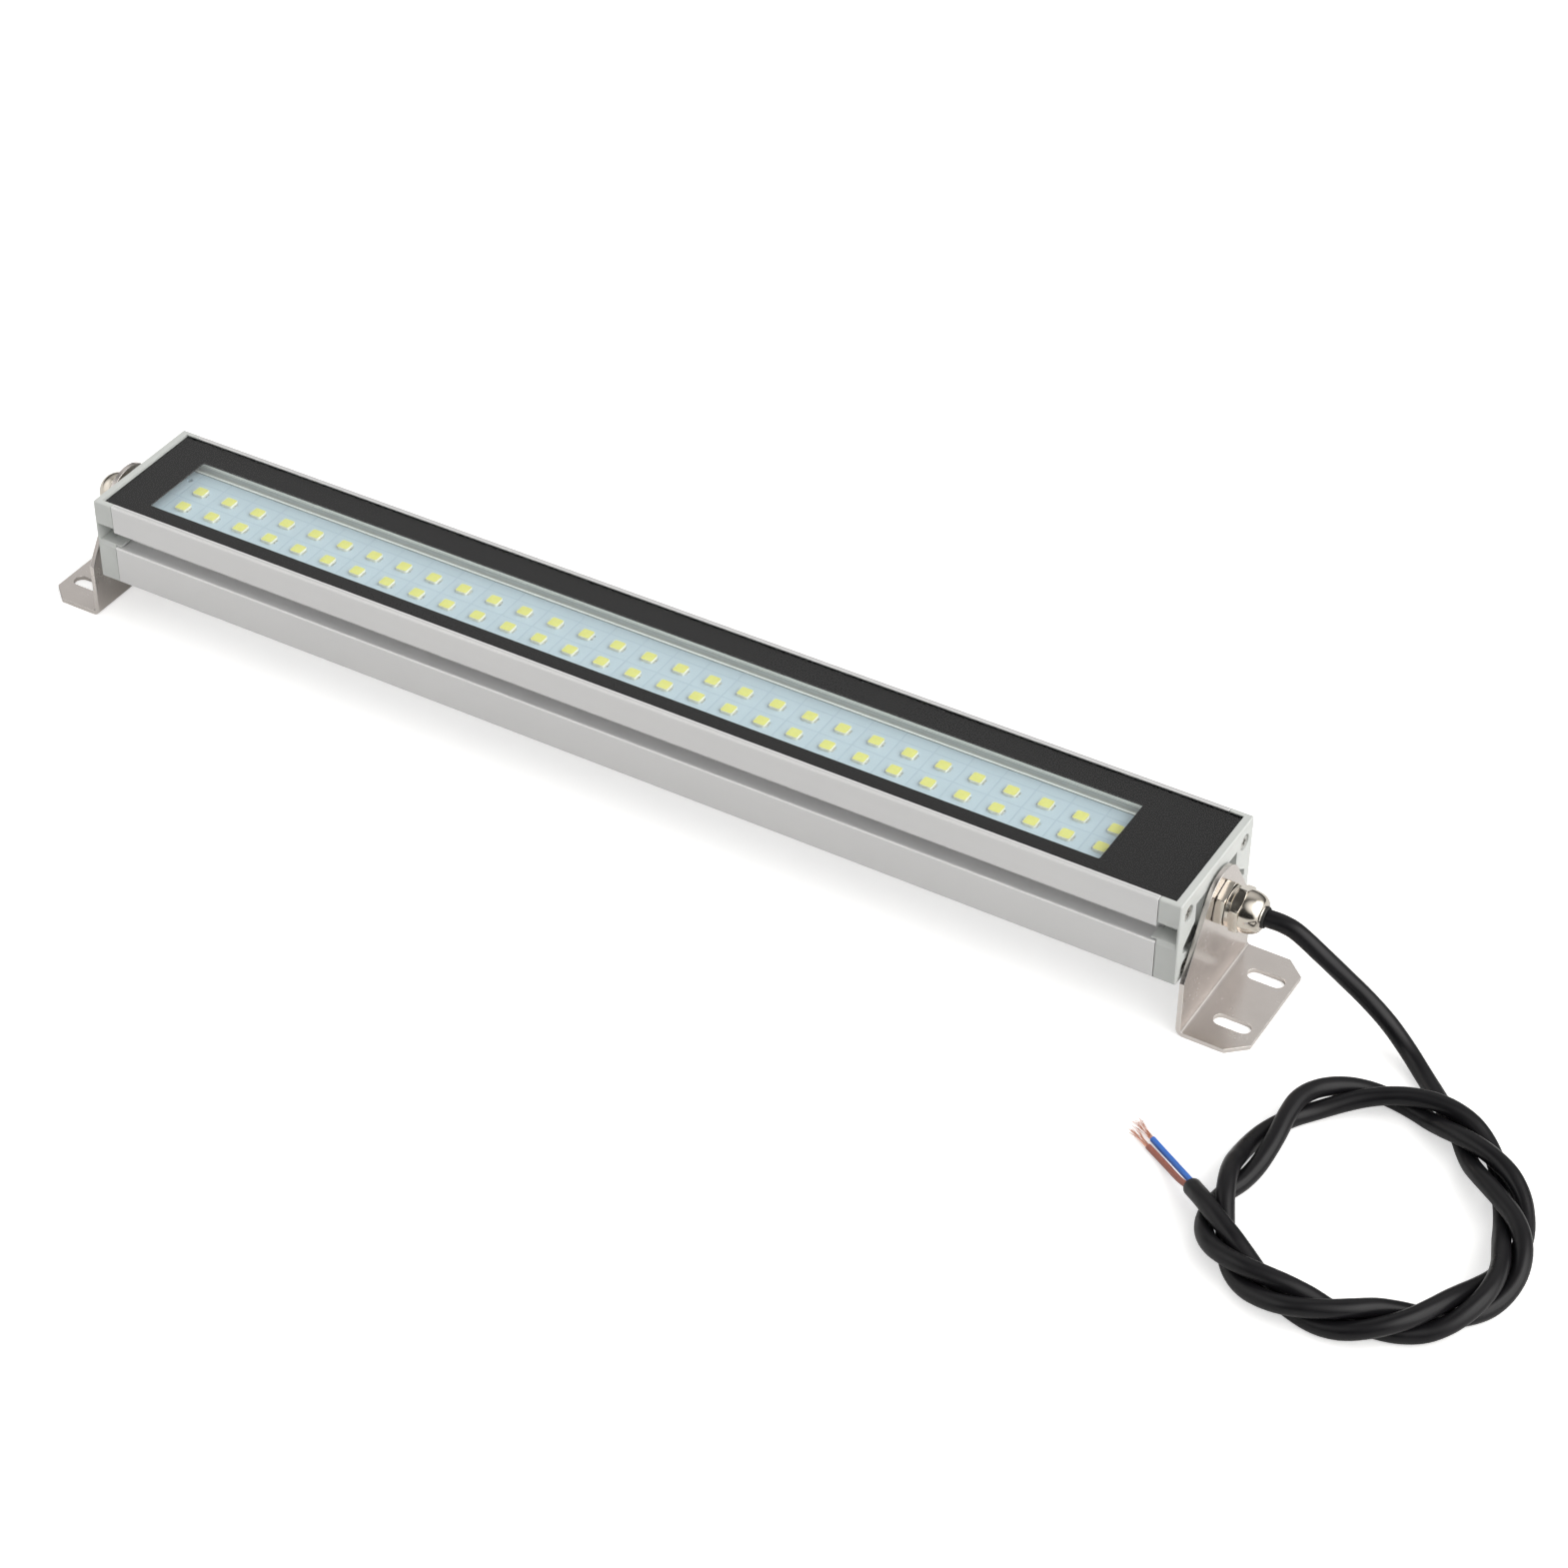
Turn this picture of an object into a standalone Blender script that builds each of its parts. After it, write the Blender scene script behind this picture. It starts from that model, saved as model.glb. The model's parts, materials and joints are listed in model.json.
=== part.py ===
# Machine work light: an aluminium profile with a glazed LED chamber, two end caps,
# two swivelling feet, a cable gland and a coiled cord. Metres, +Z up, floor at z = 0.
import math

import bmesh
import bpy
from mathutils import Matrix, Vector

# Clearances and shared habits
GAP = 0.0003
OVERRUN = 0.0010
ROUND_SEGMENTS = 36
CORNER_STEPS = 3
SHARP_ANGLE = math.radians(35)

# Body profile, seen along its length
BODY_WIDTH = 0.0624
BODY_HEIGHT = 0.0387
BODY_CORNER = 0.0008
EDGE_BREAK = 0.0003
EXTRUSION_LENGTH = 0.4887
AXIS_BELOW_RIM = 0.0185
LIP_THICKNESS = 0.0006
LIP_COVER = 0.0012
WALL = 0.0020
WEB_THICKNESS = 0.0020
RAIL_WIDTH = 0.0114
CHAMBER_DEPTH = 0.0053
WALL_RIB_COUNT = 4
WALL_RIB_HEIGHT = 0.0005
WALL_RIB_DEPTH = 0.0004
SLOT_BELOW_RIM = 0.0134
SLOT_HEIGHT = 0.0075
SLOT_DEPTH = 0.0080
RAIL_HOLLOW_WIDTH = 0.0026
RAIL_HOLLOW_HEIGHT = 0.0042

# Glass and its black border
SEAT_WALL = 0.0009
GLASS_THICKNESS = 0.0040
BORDER_THICKNESS = 0.0004
WINDOW_SIDE_MARGIN = 0.0127
WINDOW_LEFT_MARGIN = 0.01635
WINDOW_RIGHT_MARGIN = 0.03685
WINDOW_CORNER = 0.0010

# LED board
BOARD_THICKNESS = 0.0016
BOARD_LEFT_MARGIN = 0.00085
BOARD_RIGHT_MARGIN = 0.01835
BOARD_HOLE_RADIUS = 0.0012
BOARD_HOLE_INSET = 0.0055
LED_ROWS = 2
LED_PITCH = 0.0150
LED_ROW_SPACING = 0.0123
LED_FIRST_INSET = 0.0169
LED_LAST_INSET = 0.0120
LED_LENGTH = 0.0054
LED_WIDTH = 0.0050
LED_HEIGHT = 0.0016
LED_RIM = 0.0003
LED_WELL_DEPTH = 0.0002

# End caps
CAP_THICKNESS = 0.00925
CAP_EDGE = 0.0004
CAP_GLASS_WALL = 0.00325
CAP_END_WALL = 0.0023
CAP_SHELF = 0.0024
CAP_POCKET_INSET = 0.0110
RECESS_DEPTH = 0.0034
RECESS_TOP_BAND = 0.0082
RECESS_BOTTOM_BAND = 0.0066
RECESS_SIDE_BAND = 0.0047
GUSSET_TOP_WIDTH = 0.0137
GUSSET_TOP_DROP = 0.0084
GUSSET_TOP_SLANT = 0.0065
GUSSET_LOW_WIDTH = 0.0122
GUSSET_LOW_RISE = 0.0026
GUSSET_LOW_SLANT = 0.0035
HUB_RADIUS = 0.0125
NOTCH_RISE = 0.0023
NOTCH_FLOOR_LIFT = 0.0013
NOTCH_DEPTH = 0.0032
NOTCH_END_WALL = 0.0010
NOTCH_STEP_WIDTH = 0.0010
NOTCH_STEP_DROP = 0.0021
TONGUE_LENGTH = 0.0025
TONGUE_WIDTH = 0.0066
TONGUE_THICKNESS = 0.0009

# Cap seals and cap screws
SEAL_BAND = 0.0010
SEAL_THICKNESS = 0.0012
SEAL_INSET = 0.0097
SEAL_TOP_BELOW_RIM = 0.0070
SEAL_CORNER = 0.0020
SCREW_INSET_Y = 0.0072
SCREW_TOP_INSET_Z = 0.0081
SCREW_LOW_INSET_Z = 0.0048
SCREW_SHANK_RADIUS = 0.0013
SCREW_LENGTH = 0.0145
SCREW_HEAD_RADIUS = 0.0032
SCREW_HEAD_HEIGHT = 0.0022
SCREW_HEAD_ROUND = 0.0006
SCREW_DRIVE_WIDTH = 0.0010
SCREW_DRIVE_SPAN = 0.0034
SCREW_DRIVE_DEPTH = 0.0012
PORT_WALL = 0.0012
COUNTERBORE_DEPTH = 0.0028

# Feet, bent from sheet
SHEET = 0.0020
FOOT_WIDTH = 0.0594
FOOT_REACH = 0.0262
FOOT_DROP = 0.0454
BEND_RADIUS = 0.0015
BEND_STEPS = 5
SHOULDER_BELOW_AXIS = 0.0195
HEAD_RADIUS = 0.0147
FOOT_CHAMFER_X = 0.0078
FOOT_CHAMFER_Y = 0.0070
SLOT_HOLE_WIDTH = 0.0065
SLOT_HOLE_LENGTH = 0.0155
SLOT_HOLE_SPACING = 0.0300
SLOT_HOLE_OUT = 0.0150

# Cable gland on the right, with the cord's own diameter
CORD_DIAMETER = 0.0065
THREAD_RADIUS = 0.0060
NUT_ACROSS_FLATS = 0.0170
NUT_CHAMFER = 0.0007
WASHER_THICKNESS = 0.0005
WASHER_RADIUS = 0.0110
LOCKNUT_THICKNESS = 0.0028
GLAND_HEX_LENGTH = 0.0036
GLAND_RING_LENGTH = 0.0008
GLAND_RING_RADIUS = 0.0088
GLAND_HEX_TURN = math.radians(18)
SPOUT_RADIUS = 0.0059
SPOUT_LENGTH = 0.0045
DOME_COLLAR_LENGTH = 0.0020
DOME_COLLAR_RADIUS = 0.0085
DOME_HEX_LENGTH = 0.0038
DOME_HEX_TURN = math.radians(28)
DOME_LENGTH = 0.0075
DOME_RADIUS = 0.0086
DOME_MOUTH_OUTER = 0.0060
DOME_MOUTH = 0.0049
DOME_LIP = 0.0005
DOME_CAVITY_MARGIN = 0.0047
SLEEVE_NECK_RADIUS = 0.0046
SLEEVE_OUT = 0.0010
INLET_DEPTH = 0.0003

# Blind swivel fitting on the left
SPACER_HEX_LENGTH = 0.0055
BLIND_HEX_LENGTH = 0.0043
BLIND_DOME_RADIUS = 0.0085
BLIND_STUD_LENGTH = 0.0065
BLIND_BORE_EXTRA = 0.0010

# Driver in the lower chamber
TRAY_LENGTH = 0.1250
TRAY_END_MARGIN = 0.0194
TRAY_WALL = 0.0010
TRAY_HEIGHT = 0.0099
TRAY_LEDGE_HEIGHT = 0.0040
TRAY_LEDGE_WIDTH = 0.0020
DRIVER_END_MARGIN = 0.0020
CAPACITOR_RADIUS = 0.0050
CAPACITOR_HEIGHT = 0.0125
CAPACITOR_CRIMP = 0.0003
CHOKE_LENGTH = 0.0180
CHOKE_WIDTH = 0.0160
CHOKE_HEIGHT = 0.0110
CHOKE_NECK = 0.0015
TERMINAL_LENGTH = 0.0090
TERMINAL_WIDTH = 0.0130
TERMINAL_HEIGHT = 0.0092
TERMINAL_INSET = 0.0030
TERMINAL_WELL_RADIUS = 0.0016
TERMINAL_WELL_DEPTH = 0.0030
CORE_DIAMETER = 0.0024
CORE_SPACING = 0.0030
LEAD_WIRE_DIAMETER = 0.0014
LEAD_WIRE_INSET = 0.0015
LEAD_WIRE_SPACING = 0.0024

# Places along the driver board, as shares of its length from the cord's end
CHOKE_SHARE = 0.36
CAPACITOR_SHARE = 0.68
CAPACITOR_SIDE_SHARE = 0.40

# Free cord. The coil's turns twist round one another, each passing over and under the next.
CORD_SIDES_RESOLUTION = 2
COIL_SIDES_RESOLUTION = 1
COIL_LEAST_ARC = 0.030
LEAST_SELF_GAP = 0.0004
STRAND_RADIUS = 0.0008
STRAND_LENGTH = 0.0110
STRAND_SPREAD = 0.0011

# Route points of the free cord after the gland, of its coil, and of its bare end, in metres
LEAD_ROUTE = [
    (0.2910, 0.0000, 0.0437), (0.3009, 0.0008, 0.0368), (0.3101, 0.0028, 0.0286),
    (0.3196, 0.0045, 0.0203), (0.3293, 0.0042, 0.0128), (0.3392, 0.0007, 0.0067),
    (0.3490, -0.0062, 0.0038), (0.3583, -0.0145, 0.0036),
]
COIL_ROUTE = [
    (0.3673, -0.0231, 0.0036), (0.3731, -0.0294, 0.0036), (0.3782, -0.0363, 0.0039),
    (0.3831, -0.0430, 0.0058), (0.3886, -0.0490, 0.0084), (0.3948, -0.0545, 0.0103),
    (0.4014, -0.0599, 0.0116), (0.4079, -0.0654, 0.0122), (0.4135, -0.0718, 0.0118),
    (0.4175, -0.0792, 0.0101), (0.4192, -0.0871, 0.0074), (0.4184, -0.0952, 0.0049),
    (0.4157, -0.1032, 0.0036), (0.4109, -0.1102, 0.0036), (0.4043, -0.1157, 0.0036),
    (0.3969, -0.1199, 0.0047), (0.3900, -0.1242, 0.0073), (0.3838, -0.1294, 0.0102),
    (0.3776, -0.1350, 0.0117), (0.3705, -0.1398, 0.0118), (0.3626, -0.1430, 0.0110),
    (0.3544, -0.1442, 0.0094), (0.3462, -0.1430, 0.0072), (0.3385, -0.1399, 0.0051),
    (0.3318, -0.1348, 0.0038), (0.3263, -0.1282, 0.0036), (0.3221, -0.1209, 0.0045),
    (0.3183, -0.1137, 0.0072), (0.3147, -0.1065, 0.0100), (0.3118, -0.0985, 0.0110),
    (0.3098, -0.0903, 0.0095), (0.3089, -0.0823, 0.0068), (0.3089, -0.0739, 0.0048),
    (0.3101, -0.0655, 0.0038), (0.3130, -0.0575, 0.0036), (0.3173, -0.0501, 0.0036),
    (0.3229, -0.0436, 0.0042), (0.3291, -0.0380, 0.0059), (0.3359, -0.0332, 0.0080),
    (0.3433, -0.0295, 0.0099), (0.3513, -0.0268, 0.0112), (0.3597, -0.0253, 0.0119),
    (0.3683, -0.0251, 0.0114), (0.3765, -0.0265, 0.0096), (0.3837, -0.0300, 0.0068),
    (0.3898, -0.0356, 0.0045), (0.3944, -0.0427, 0.0036), (0.3983, -0.0504, 0.0036),
    (0.4019, -0.0581, 0.0037), (0.4049, -0.0660, 0.0049), (0.4074, -0.0738, 0.0075),
    (0.4101, -0.0814, 0.0103), (0.4129, -0.0894, 0.0116), (0.4143, -0.0978, 0.0120),
    (0.4140, -0.1063, 0.0117), (0.4118, -0.1144, 0.0102), (0.4076, -0.1214, 0.0075),
    (0.4016, -0.1268, 0.0049), (0.3940, -0.1306, 0.0037), (0.3858, -0.1329, 0.0036),
    (0.3773, -0.1339, 0.0040), (0.3690, -0.1344, 0.0058), (0.3609, -0.1349, 0.0086),
    (0.3527, -0.1360, 0.0109), (0.3443, -0.1368, 0.0120), (0.3358, -0.1366, 0.0120),
    (0.3276, -0.1343, 0.0106), (0.3206, -0.1301, 0.0084), (0.3152, -0.1239, 0.0061),
    (0.3118, -0.1163, 0.0043), (0.3106, -0.1079, 0.0036), (0.3118, -0.0994, 0.0036),
    (0.3146, -0.0913, 0.0037), (0.3164, -0.0831, 0.0050), (0.3170, -0.0748, 0.0070),
    (0.3170, -0.0665, 0.0090), (0.3164, -0.0581, 0.0106), (0.3165, -0.0495, 0.0111),
    (0.3185, -0.0413, 0.0100), (0.3228, -0.0341, 0.0085), (0.3290, -0.0285, 0.0069),
    (0.3367, -0.0251, 0.0053), (0.3451, -0.0242, 0.0041), (0.3535, -0.0255, 0.0039),
    (0.3612, -0.0288, 0.0052), (0.3682, -0.0328, 0.0082), (0.3755, -0.0362, 0.0110),
    (0.3835, -0.0388, 0.0121), (0.3916, -0.0417, 0.0118), (0.3992, -0.0453, 0.0104),
    (0.4055, -0.0504, 0.0076), (0.4100, -0.0571, 0.0050), (0.4130, -0.0650, 0.0037),
    (0.4139, -0.0735, 0.0036), (0.4132, -0.0820, 0.0036), (0.4112, -0.0903, 0.0041),
    (0.4086, -0.0983, 0.0059), (0.4061, -0.1061, 0.0085), (0.4035, -0.1139, 0.0108),
    (0.4004, -0.1218, 0.0119), (0.3961, -0.1291, 0.0116), (0.3902, -0.1353, 0.0104),
    (0.3832, -0.1395, 0.0081), (0.3754, -0.1416, 0.0054), (0.3670, -0.1417, 0.0038),
    (0.3586, -0.1402, 0.0036), (0.3506, -0.1373, 0.0037), (0.3430, -0.1335, 0.0051),
    (0.3358, -0.1296, 0.0077),
]
TAIL_ROUTE = [
    (0.3269, -0.1252, 0.0109), (0.3178, -0.1202, 0.0123), (0.3095, -0.1139, 0.0113),
    (0.3021, -0.1072, 0.0081),
]
BROWN_ROUTE = [
    (0.2952, -0.1039, 0.0059), (0.2886, -0.0983, 0.0032), (0.2825, -0.0939, 0.0018),
    (0.2765, -0.0904, 0.0015),
]
BLUE_ROUTE = [
    (0.2955, -0.1005, 0.0061), (0.2888, -0.0947, 0.0034), (0.2824, -0.0900, 0.0019),
    (0.2762, -0.0861, 0.0015),
]

# Heights measured from the swivel axis, and stations along the body from its middle
RIM = AXIS_BELOW_RIM
BOTTOM = RIM - BODY_HEIGHT
SIDE = BODY_WIDTH / 2
LIP_UNDER = RIM - LIP_THICKNESS
GLASS_TOP = LIP_UNDER - GAP
GLASS_UNDER = GLASS_TOP - GLASS_THICKNESS
BORDER_TOP = GLASS_UNDER - GAP
SHELF = BORDER_TOP - BORDER_THICKNESS - GAP
BOARD_TOP = SHELF - CHAMBER_DEPTH
WEB_TOP = BOARD_TOP - BOARD_THICKNESS - GAP
WEB_UNDER = WEB_TOP - WEB_THICKNESS
SLOT_TOP = RIM - SLOT_BELOW_RIM
SLOT_FLOOR = SLOT_TOP - SLOT_HEIGHT
SLOT_BACK = SIDE - SLOT_DEPTH
GLASS_SEAT = SIDE - SEAT_WALL
GLASS_HALF = GLASS_SEAT - GAP
LIP_EDGE = GLASS_HALF - LIP_COVER
WINDOW_HALF = SIDE - WINDOW_SIDE_MARGIN
CHAMBER_HALF = SIDE - RAIL_WIDTH
BOARD_HALF = CHAMBER_HALF - GAP
POCKET_HALF = SIDE - CAP_POCKET_INSET
SEAL_HALF = SIDE - SEAL_INSET
LOWER_WAIST = SLOT_BACK - WALL
LOWER_WIDE = SIDE - WALL
LOWER_SHOULDER = SLOT_FLOOR - WALL
LOWER_FLOOR = BOTTOM + WALL
EXTRUSION_END = EXTRUSION_LENGTH / 2
BOARD_LENGTH = EXTRUSION_LENGTH - BOARD_LEFT_MARGIN - BOARD_RIGHT_MARGIN
LED_PER_ROW = int((BOARD_LENGTH - LED_FIRST_INSET - LED_LAST_INSET) / LED_PITCH) + 1
CAP_JOINT = EXTRUSION_END + GAP
CAP_FACE = CAP_JOINT + CAP_THICKNESS
RECESS_FLOOR = CAP_FACE - RECESS_DEPTH
POCKET_FLOOR = RECESS_FLOOR - CAP_END_WALL
GLASS_END = CAP_FACE - CAP_GLASS_WALL - GAP
HOLE_RADIUS = THREAD_RADIUS + GAP
PORT_RADIUS = SCREW_SHANK_RADIUS + GAP
SCREW_Y = SIDE - SCREW_INSET_Y
PORT_HALF = PORT_RADIUS + PORT_WALL
TRAY_HALF = SCREW_Y - PORT_HALF - GAP
SCREW_TOP_Z = RIM - SCREW_TOP_INSET_Z
SCREW_LOW_Z = BOTTOM + SCREW_LOW_INSET_Z
RIGHT_WASHER = CAP_FACE + GAP
RIGHT_SHEET = RIGHT_WASHER + WASHER_THICKNESS + GAP
RIGHT_BODY = RIGHT_SHEET + SHEET + GAP
DOME_NUT = RIGHT_BODY + GLAND_HEX_LENGTH + GAP
DOME_MOUTH_X = DOME_NUT + DOME_COLLAR_LENGTH + DOME_HEX_LENGTH + DOME_LENGTH
SLEEVE_END = DOME_MOUTH_X + SLEEVE_OUT
LEFT_SPACER = CAP_FACE + GAP
LEFT_SHEET = LEFT_SPACER + SPACER_HEX_LENGTH + GAP
LEFT_NUT = LEFT_SHEET + SHEET + GAP
RIGHT_REACH = RIGHT_SHEET + SHEET + FOOT_REACH
LEFT_REACH = LEFT_SHEET + SHEET + FOOT_REACH
CORD_RADIUS = CORD_DIAMETER / 2
TRAY_FLOOR = LOWER_FLOOR + GAP
DRIVER_UNDER = TRAY_FLOOR + TRAY_LEDGE_HEIGHT + GAP
DRIVER_TOP = DRIVER_UNDER + BOARD_THICKNESS
DRIVER_RIGHT = EXTRUSION_END - TRAY_END_MARGIN - DRIVER_END_MARGIN
DRIVER_LENGTH = TRAY_LENGTH - 2 * DRIVER_END_MARGIN

# The swivel axis above the floor; the box of the rigid part is centred on x = 0
AXIS_POINT = Vector(((LEFT_REACH - RIGHT_REACH) / 2, 0, FOOT_DROP))


def clear_scene():
    for thing in list(bpy.data.objects):
        bpy.data.objects.remove(thing, do_unlink=True)


def material(name, colour, roughness, metallic=0.0, transmission=0.0):
    made = bpy.data.materials.new(name)
    made.use_nodes = True
    shader = made.node_tree.nodes["Principled BSDF"]
    shader.inputs["Base Color"].default_value = (*colour, 1.0)
    shader.inputs["Roughness"].default_value = roughness
    shader.inputs["Metallic"].default_value = metallic
    shader.inputs["Transmission Weight"].default_value = transmission
    made.diffuse_color = (*colour, 1.0)
    return made


def add_object(name, data, parent=None, location=(0, 0, 0), rotation=(0, 0, 0)):
    thing = bpy.data.objects.new(name, data)
    bpy.context.scene.collection.objects.link(thing)
    thing.parent = parent
    thing.location = location
    thing.rotation_euler = rotation
    return thing


def finish_mesh(name, bm, smooth=False):
    bmesh.ops.recalc_face_normals(bm, faces=bm.faces)
    mesh = bpy.data.meshes.new(name)
    bm.to_mesh(mesh)
    bm.free()
    if smooth:
        mesh.shade_smooth()
        mesh.set_sharp_from_angle(angle=SHARP_ANGLE)
    return mesh


def along(axis, u, v, w):
    """Place section coordinates u, v and the run w in space."""
    if axis == "X":
        return (w, u, v)
    if axis == "Y":
        return (u, w, v)
    return (u, v, w)


def prism(outline, low, high, axis="X", holes=(), smooth=False):
    """Extrude a section, with any through holes, from low to high."""
    bm = bmesh.new()
    for loop in (outline, *holes):
        corners = [bm.verts.new(along(axis, u, v, low)) for u, v in loop]
        for first, second in zip(corners, corners[1:] + corners[:1]):
            bm.edges.new((first, second))
    filled = bmesh.ops.triangle_fill(bm, use_beauty=True, edges=bm.edges)
    faces = [item for item in filled["geom"] if isinstance(item, bmesh.types.BMFace)]
    raised = bmesh.ops.extrude_face_region(bm, geom=faces)
    top = [item for item in raised["geom"] if isinstance(item, bmesh.types.BMVert)]
    bmesh.ops.translate(bm, verts=top, vec=along(axis, 0, 0, high - low))
    return finish_mesh("prism", bm, smooth)


def loft(rings):
    """Join rings of equal counts into one closed skin with flat ends."""
    bm = bmesh.new()
    made = [[bm.verts.new(point) for point in ring] for ring in rings]
    for lower, upper in zip(made, made[1:]):
        for index in range(len(lower)):
            after = (index + 1) % len(lower)
            bm.faces.new((lower[index], lower[after], upper[after], upper[index]))
    bm.faces.new(made[0])
    bm.faces.new(made[-1])
    return finish_mesh("loft", bm)


def lathe(profile, segments=ROUND_SEGMENTS, closed=False):
    """Turn a profile of (x, radius) points about the X axis."""
    bm = bmesh.new()
    rings = []
    for x, radius in profile:
        if radius == 0:
            rings.append([bm.verts.new((x, 0, 0))])
            continue
        angles = [math.tau * index / segments for index in range(segments)]
        rings.append([bm.verts.new((x, radius * math.cos(a), radius * math.sin(a))) for a in angles])
    pairs = list(zip(rings, rings[1:]))
    if closed:
        pairs.append((rings[-1], rings[0]))
    for lower, upper in pairs:
        for index in range(segments):
            after = (index + 1) % segments
            if len(lower) == 1:
                bm.faces.new((lower[0], upper[index], upper[after]))
            elif len(upper) == 1:
                bm.faces.new((lower[index], lower[after], upper[0]))
            else:
                bm.faces.new((lower[index], lower[after], upper[after], upper[index]))
    return finish_mesh("lathe", bm, smooth=True)


def cylinder(low, high, radius, y=0.0, z=0.0, segments=ROUND_SEGMENTS):
    """A round rod along X."""
    mesh = lathe([(low, 0), (low, radius), (high, radius), (high, 0)], segments)
    mesh.transform(Matrix.Translation((0, y, z)))
    return mesh


def box(low, high):
    """A plain block between two corners."""
    (x0, y0, z0), (x1, y1, z1) = low, high
    return prism([(y0, z0), (y1, z0), (y1, z1), (y0, z1)], x0, x1)


def combine(mesh, others, operation):
    """Apply one exact Boolean per tool mesh and return the result."""
    base = add_object("base", mesh)
    tools = []
    for other in others:
        tool = add_object("cutter", other)
        tool.hide_render = True
        tool.display_type = "WIRE"
        change = base.modifiers.new("Boolean", "BOOLEAN")
        change.operation = operation
        change.solver = "EXACT"
        change.object = tool
        tools.append(tool)
    graph = bpy.context.evaluated_depsgraph_get()
    result = bpy.data.meshes.new_from_object(base.evaluated_get(graph))
    for thing in (base, *tools):
        bpy.data.objects.remove(thing, do_unlink=True)
    return result


def cut(mesh, *others):
    return combine(mesh, others, "DIFFERENCE")


def join(mesh, *others):
    return combine(mesh, others, "UNION")


def overlap(mesh, *others):
    return combine(mesh, others, "INTERSECT")


def mirrored(mesh):
    """The same shape on the other side of the YZ plane."""
    copy = mesh.copy()
    copy.transform(Matrix.Scale(-1, 4, (1, 0, 0)))
    copy.flip_normals()
    return copy


def place(name, mesh, look, parent, location=(0, 0, 0), rotation=(0, 0, 0), smooth=True):
    mesh.name = name
    mesh.materials.clear()
    mesh.materials.append(look)
    if smooth:
        mesh.shade_smooth()
        mesh.set_sharp_from_angle(angle=SHARP_ANGLE)
    return add_object(name, mesh, parent, location, rotation)


def arc(cy, cz, radius, start, end, steps=CORNER_STEPS):
    turns = [start + (end - start) * step / steps for step in range(steps + 1)]
    return [(cy + radius * math.cos(turn), cz + radius * math.sin(turn)) for turn in turns]


def rounded_box(half, low, high, radius):
    """Outline of a rectangle with round corners, anticlockwise from the lower right."""
    quarter = math.pi / 2
    points = arc(half - radius, low + radius, radius, -quarter, 0)
    points += arc(half - radius, high - radius, radius, 0, quarter)
    points += arc(radius - half, high - radius, radius, quarter, 2 * quarter)
    points += arc(radius - half, low + radius, radius, 2 * quarter, 3 * quarter)
    return points


def circle(cy, cz, radius, segments=ROUND_SEGMENTS):
    turns = [math.tau * index / segments for index in range(segments)]
    return [(cy + radius * math.cos(turn), cz + radius * math.sin(turn)) for turn in turns]


def both_sides(half):
    """A half outline from top to bottom, then its mirror image back to the top."""
    return half + [(-y, z) for y, z in reversed(half)]


def wall_ribs():
    """Fine shelves down one wall of the LED chamber, from the shelf to the board."""
    pitch = CHAMBER_DEPTH / (WALL_RIB_COUNT + 1)
    points = []
    for number in range(1, WALL_RIB_COUNT + 1):
        middle = SHELF - number * pitch
        upper = middle + WALL_RIB_HEIGHT / 2
        lower = middle - WALL_RIB_HEIGHT / 2
        inner = CHAMBER_HALF + WALL_RIB_DEPTH
        points += [(CHAMBER_HALF, upper), (inner, upper), (inner, lower), (CHAMBER_HALF, lower)]
    return points


def screw_places():
    return [(SCREW_Y, SCREW_TOP_Z), (-SCREW_Y, SCREW_TOP_Z),
            (SCREW_Y, SCREW_LOW_Z), (-SCREW_Y, SCREW_LOW_Z)]


def make_extrusion(look, parent):
    """The long profile: glass seat, LED chamber, side slots and lower chamber."""
    quarter = math.pi / 2
    inset = SIDE - BODY_CORNER
    outside = [(LIP_EDGE, RIM)]
    outside += list(reversed(arc(inset, RIM - BODY_CORNER, BODY_CORNER, 0, quarter)))
    outside += [(SIDE, SLOT_TOP + EDGE_BREAK), (SIDE - EDGE_BREAK, SLOT_TOP),
                (SLOT_BACK, SLOT_TOP), (SLOT_BACK, SLOT_FLOOR),
                (SIDE - EDGE_BREAK, SLOT_FLOOR), (SIDE, SLOT_FLOOR - EDGE_BREAK)]
    outside += list(reversed(arc(inset, BOTTOM + BODY_CORNER, BODY_CORNER, -quarter, 0)))
    inside = [(CHAMBER_HALF, SHELF)] + wall_ribs() + [(CHAMBER_HALF, WEB_TOP)]
    seat = [(LIP_EDGE, LIP_UNDER), (GLASS_SEAT, LIP_UNDER), (GLASS_SEAT, SHELF)] + inside
    outline = both_sides(outside) + [(-y, z) for y, z in seat] + list(reversed(seat))

    lower = [(LOWER_WAIST, WEB_UNDER), (LOWER_WAIST, LOWER_SHOULDER),
             (LOWER_WIDE, LOWER_SHOULDER), (LOWER_WIDE, LOWER_FLOOR),
             (SCREW_Y + PORT_HALF, LOWER_FLOOR), (SCREW_Y + PORT_HALF, SCREW_LOW_Z + PORT_HALF),
             (SCREW_Y - PORT_HALF, SCREW_LOW_Z + PORT_HALF), (SCREW_Y - PORT_HALF, LOWER_FLOOR)]
    holes = [both_sides(lower)]
    for y, z in screw_places():
        holes.append(circle(y, z, PORT_RADIUS, ROUND_SEGMENTS // 3))
    for way in (1, -1):
        low_y = way * (SIDE - WALL)
        high_y = way * (SIDE - WALL - RAIL_HOLLOW_WIDTH)
        low_z = SLOT_TOP + WALL
        high_z = low_z + RAIL_HOLLOW_HEIGHT
        holes.append([(low_y, low_z), (high_y, low_z), (high_y, high_z), (low_y, high_z)])
    mesh = prism(outline, -EXTRUSION_END, EXTRUSION_END, holes=holes)
    place("housing_extrusion", mesh, look, parent)


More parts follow.
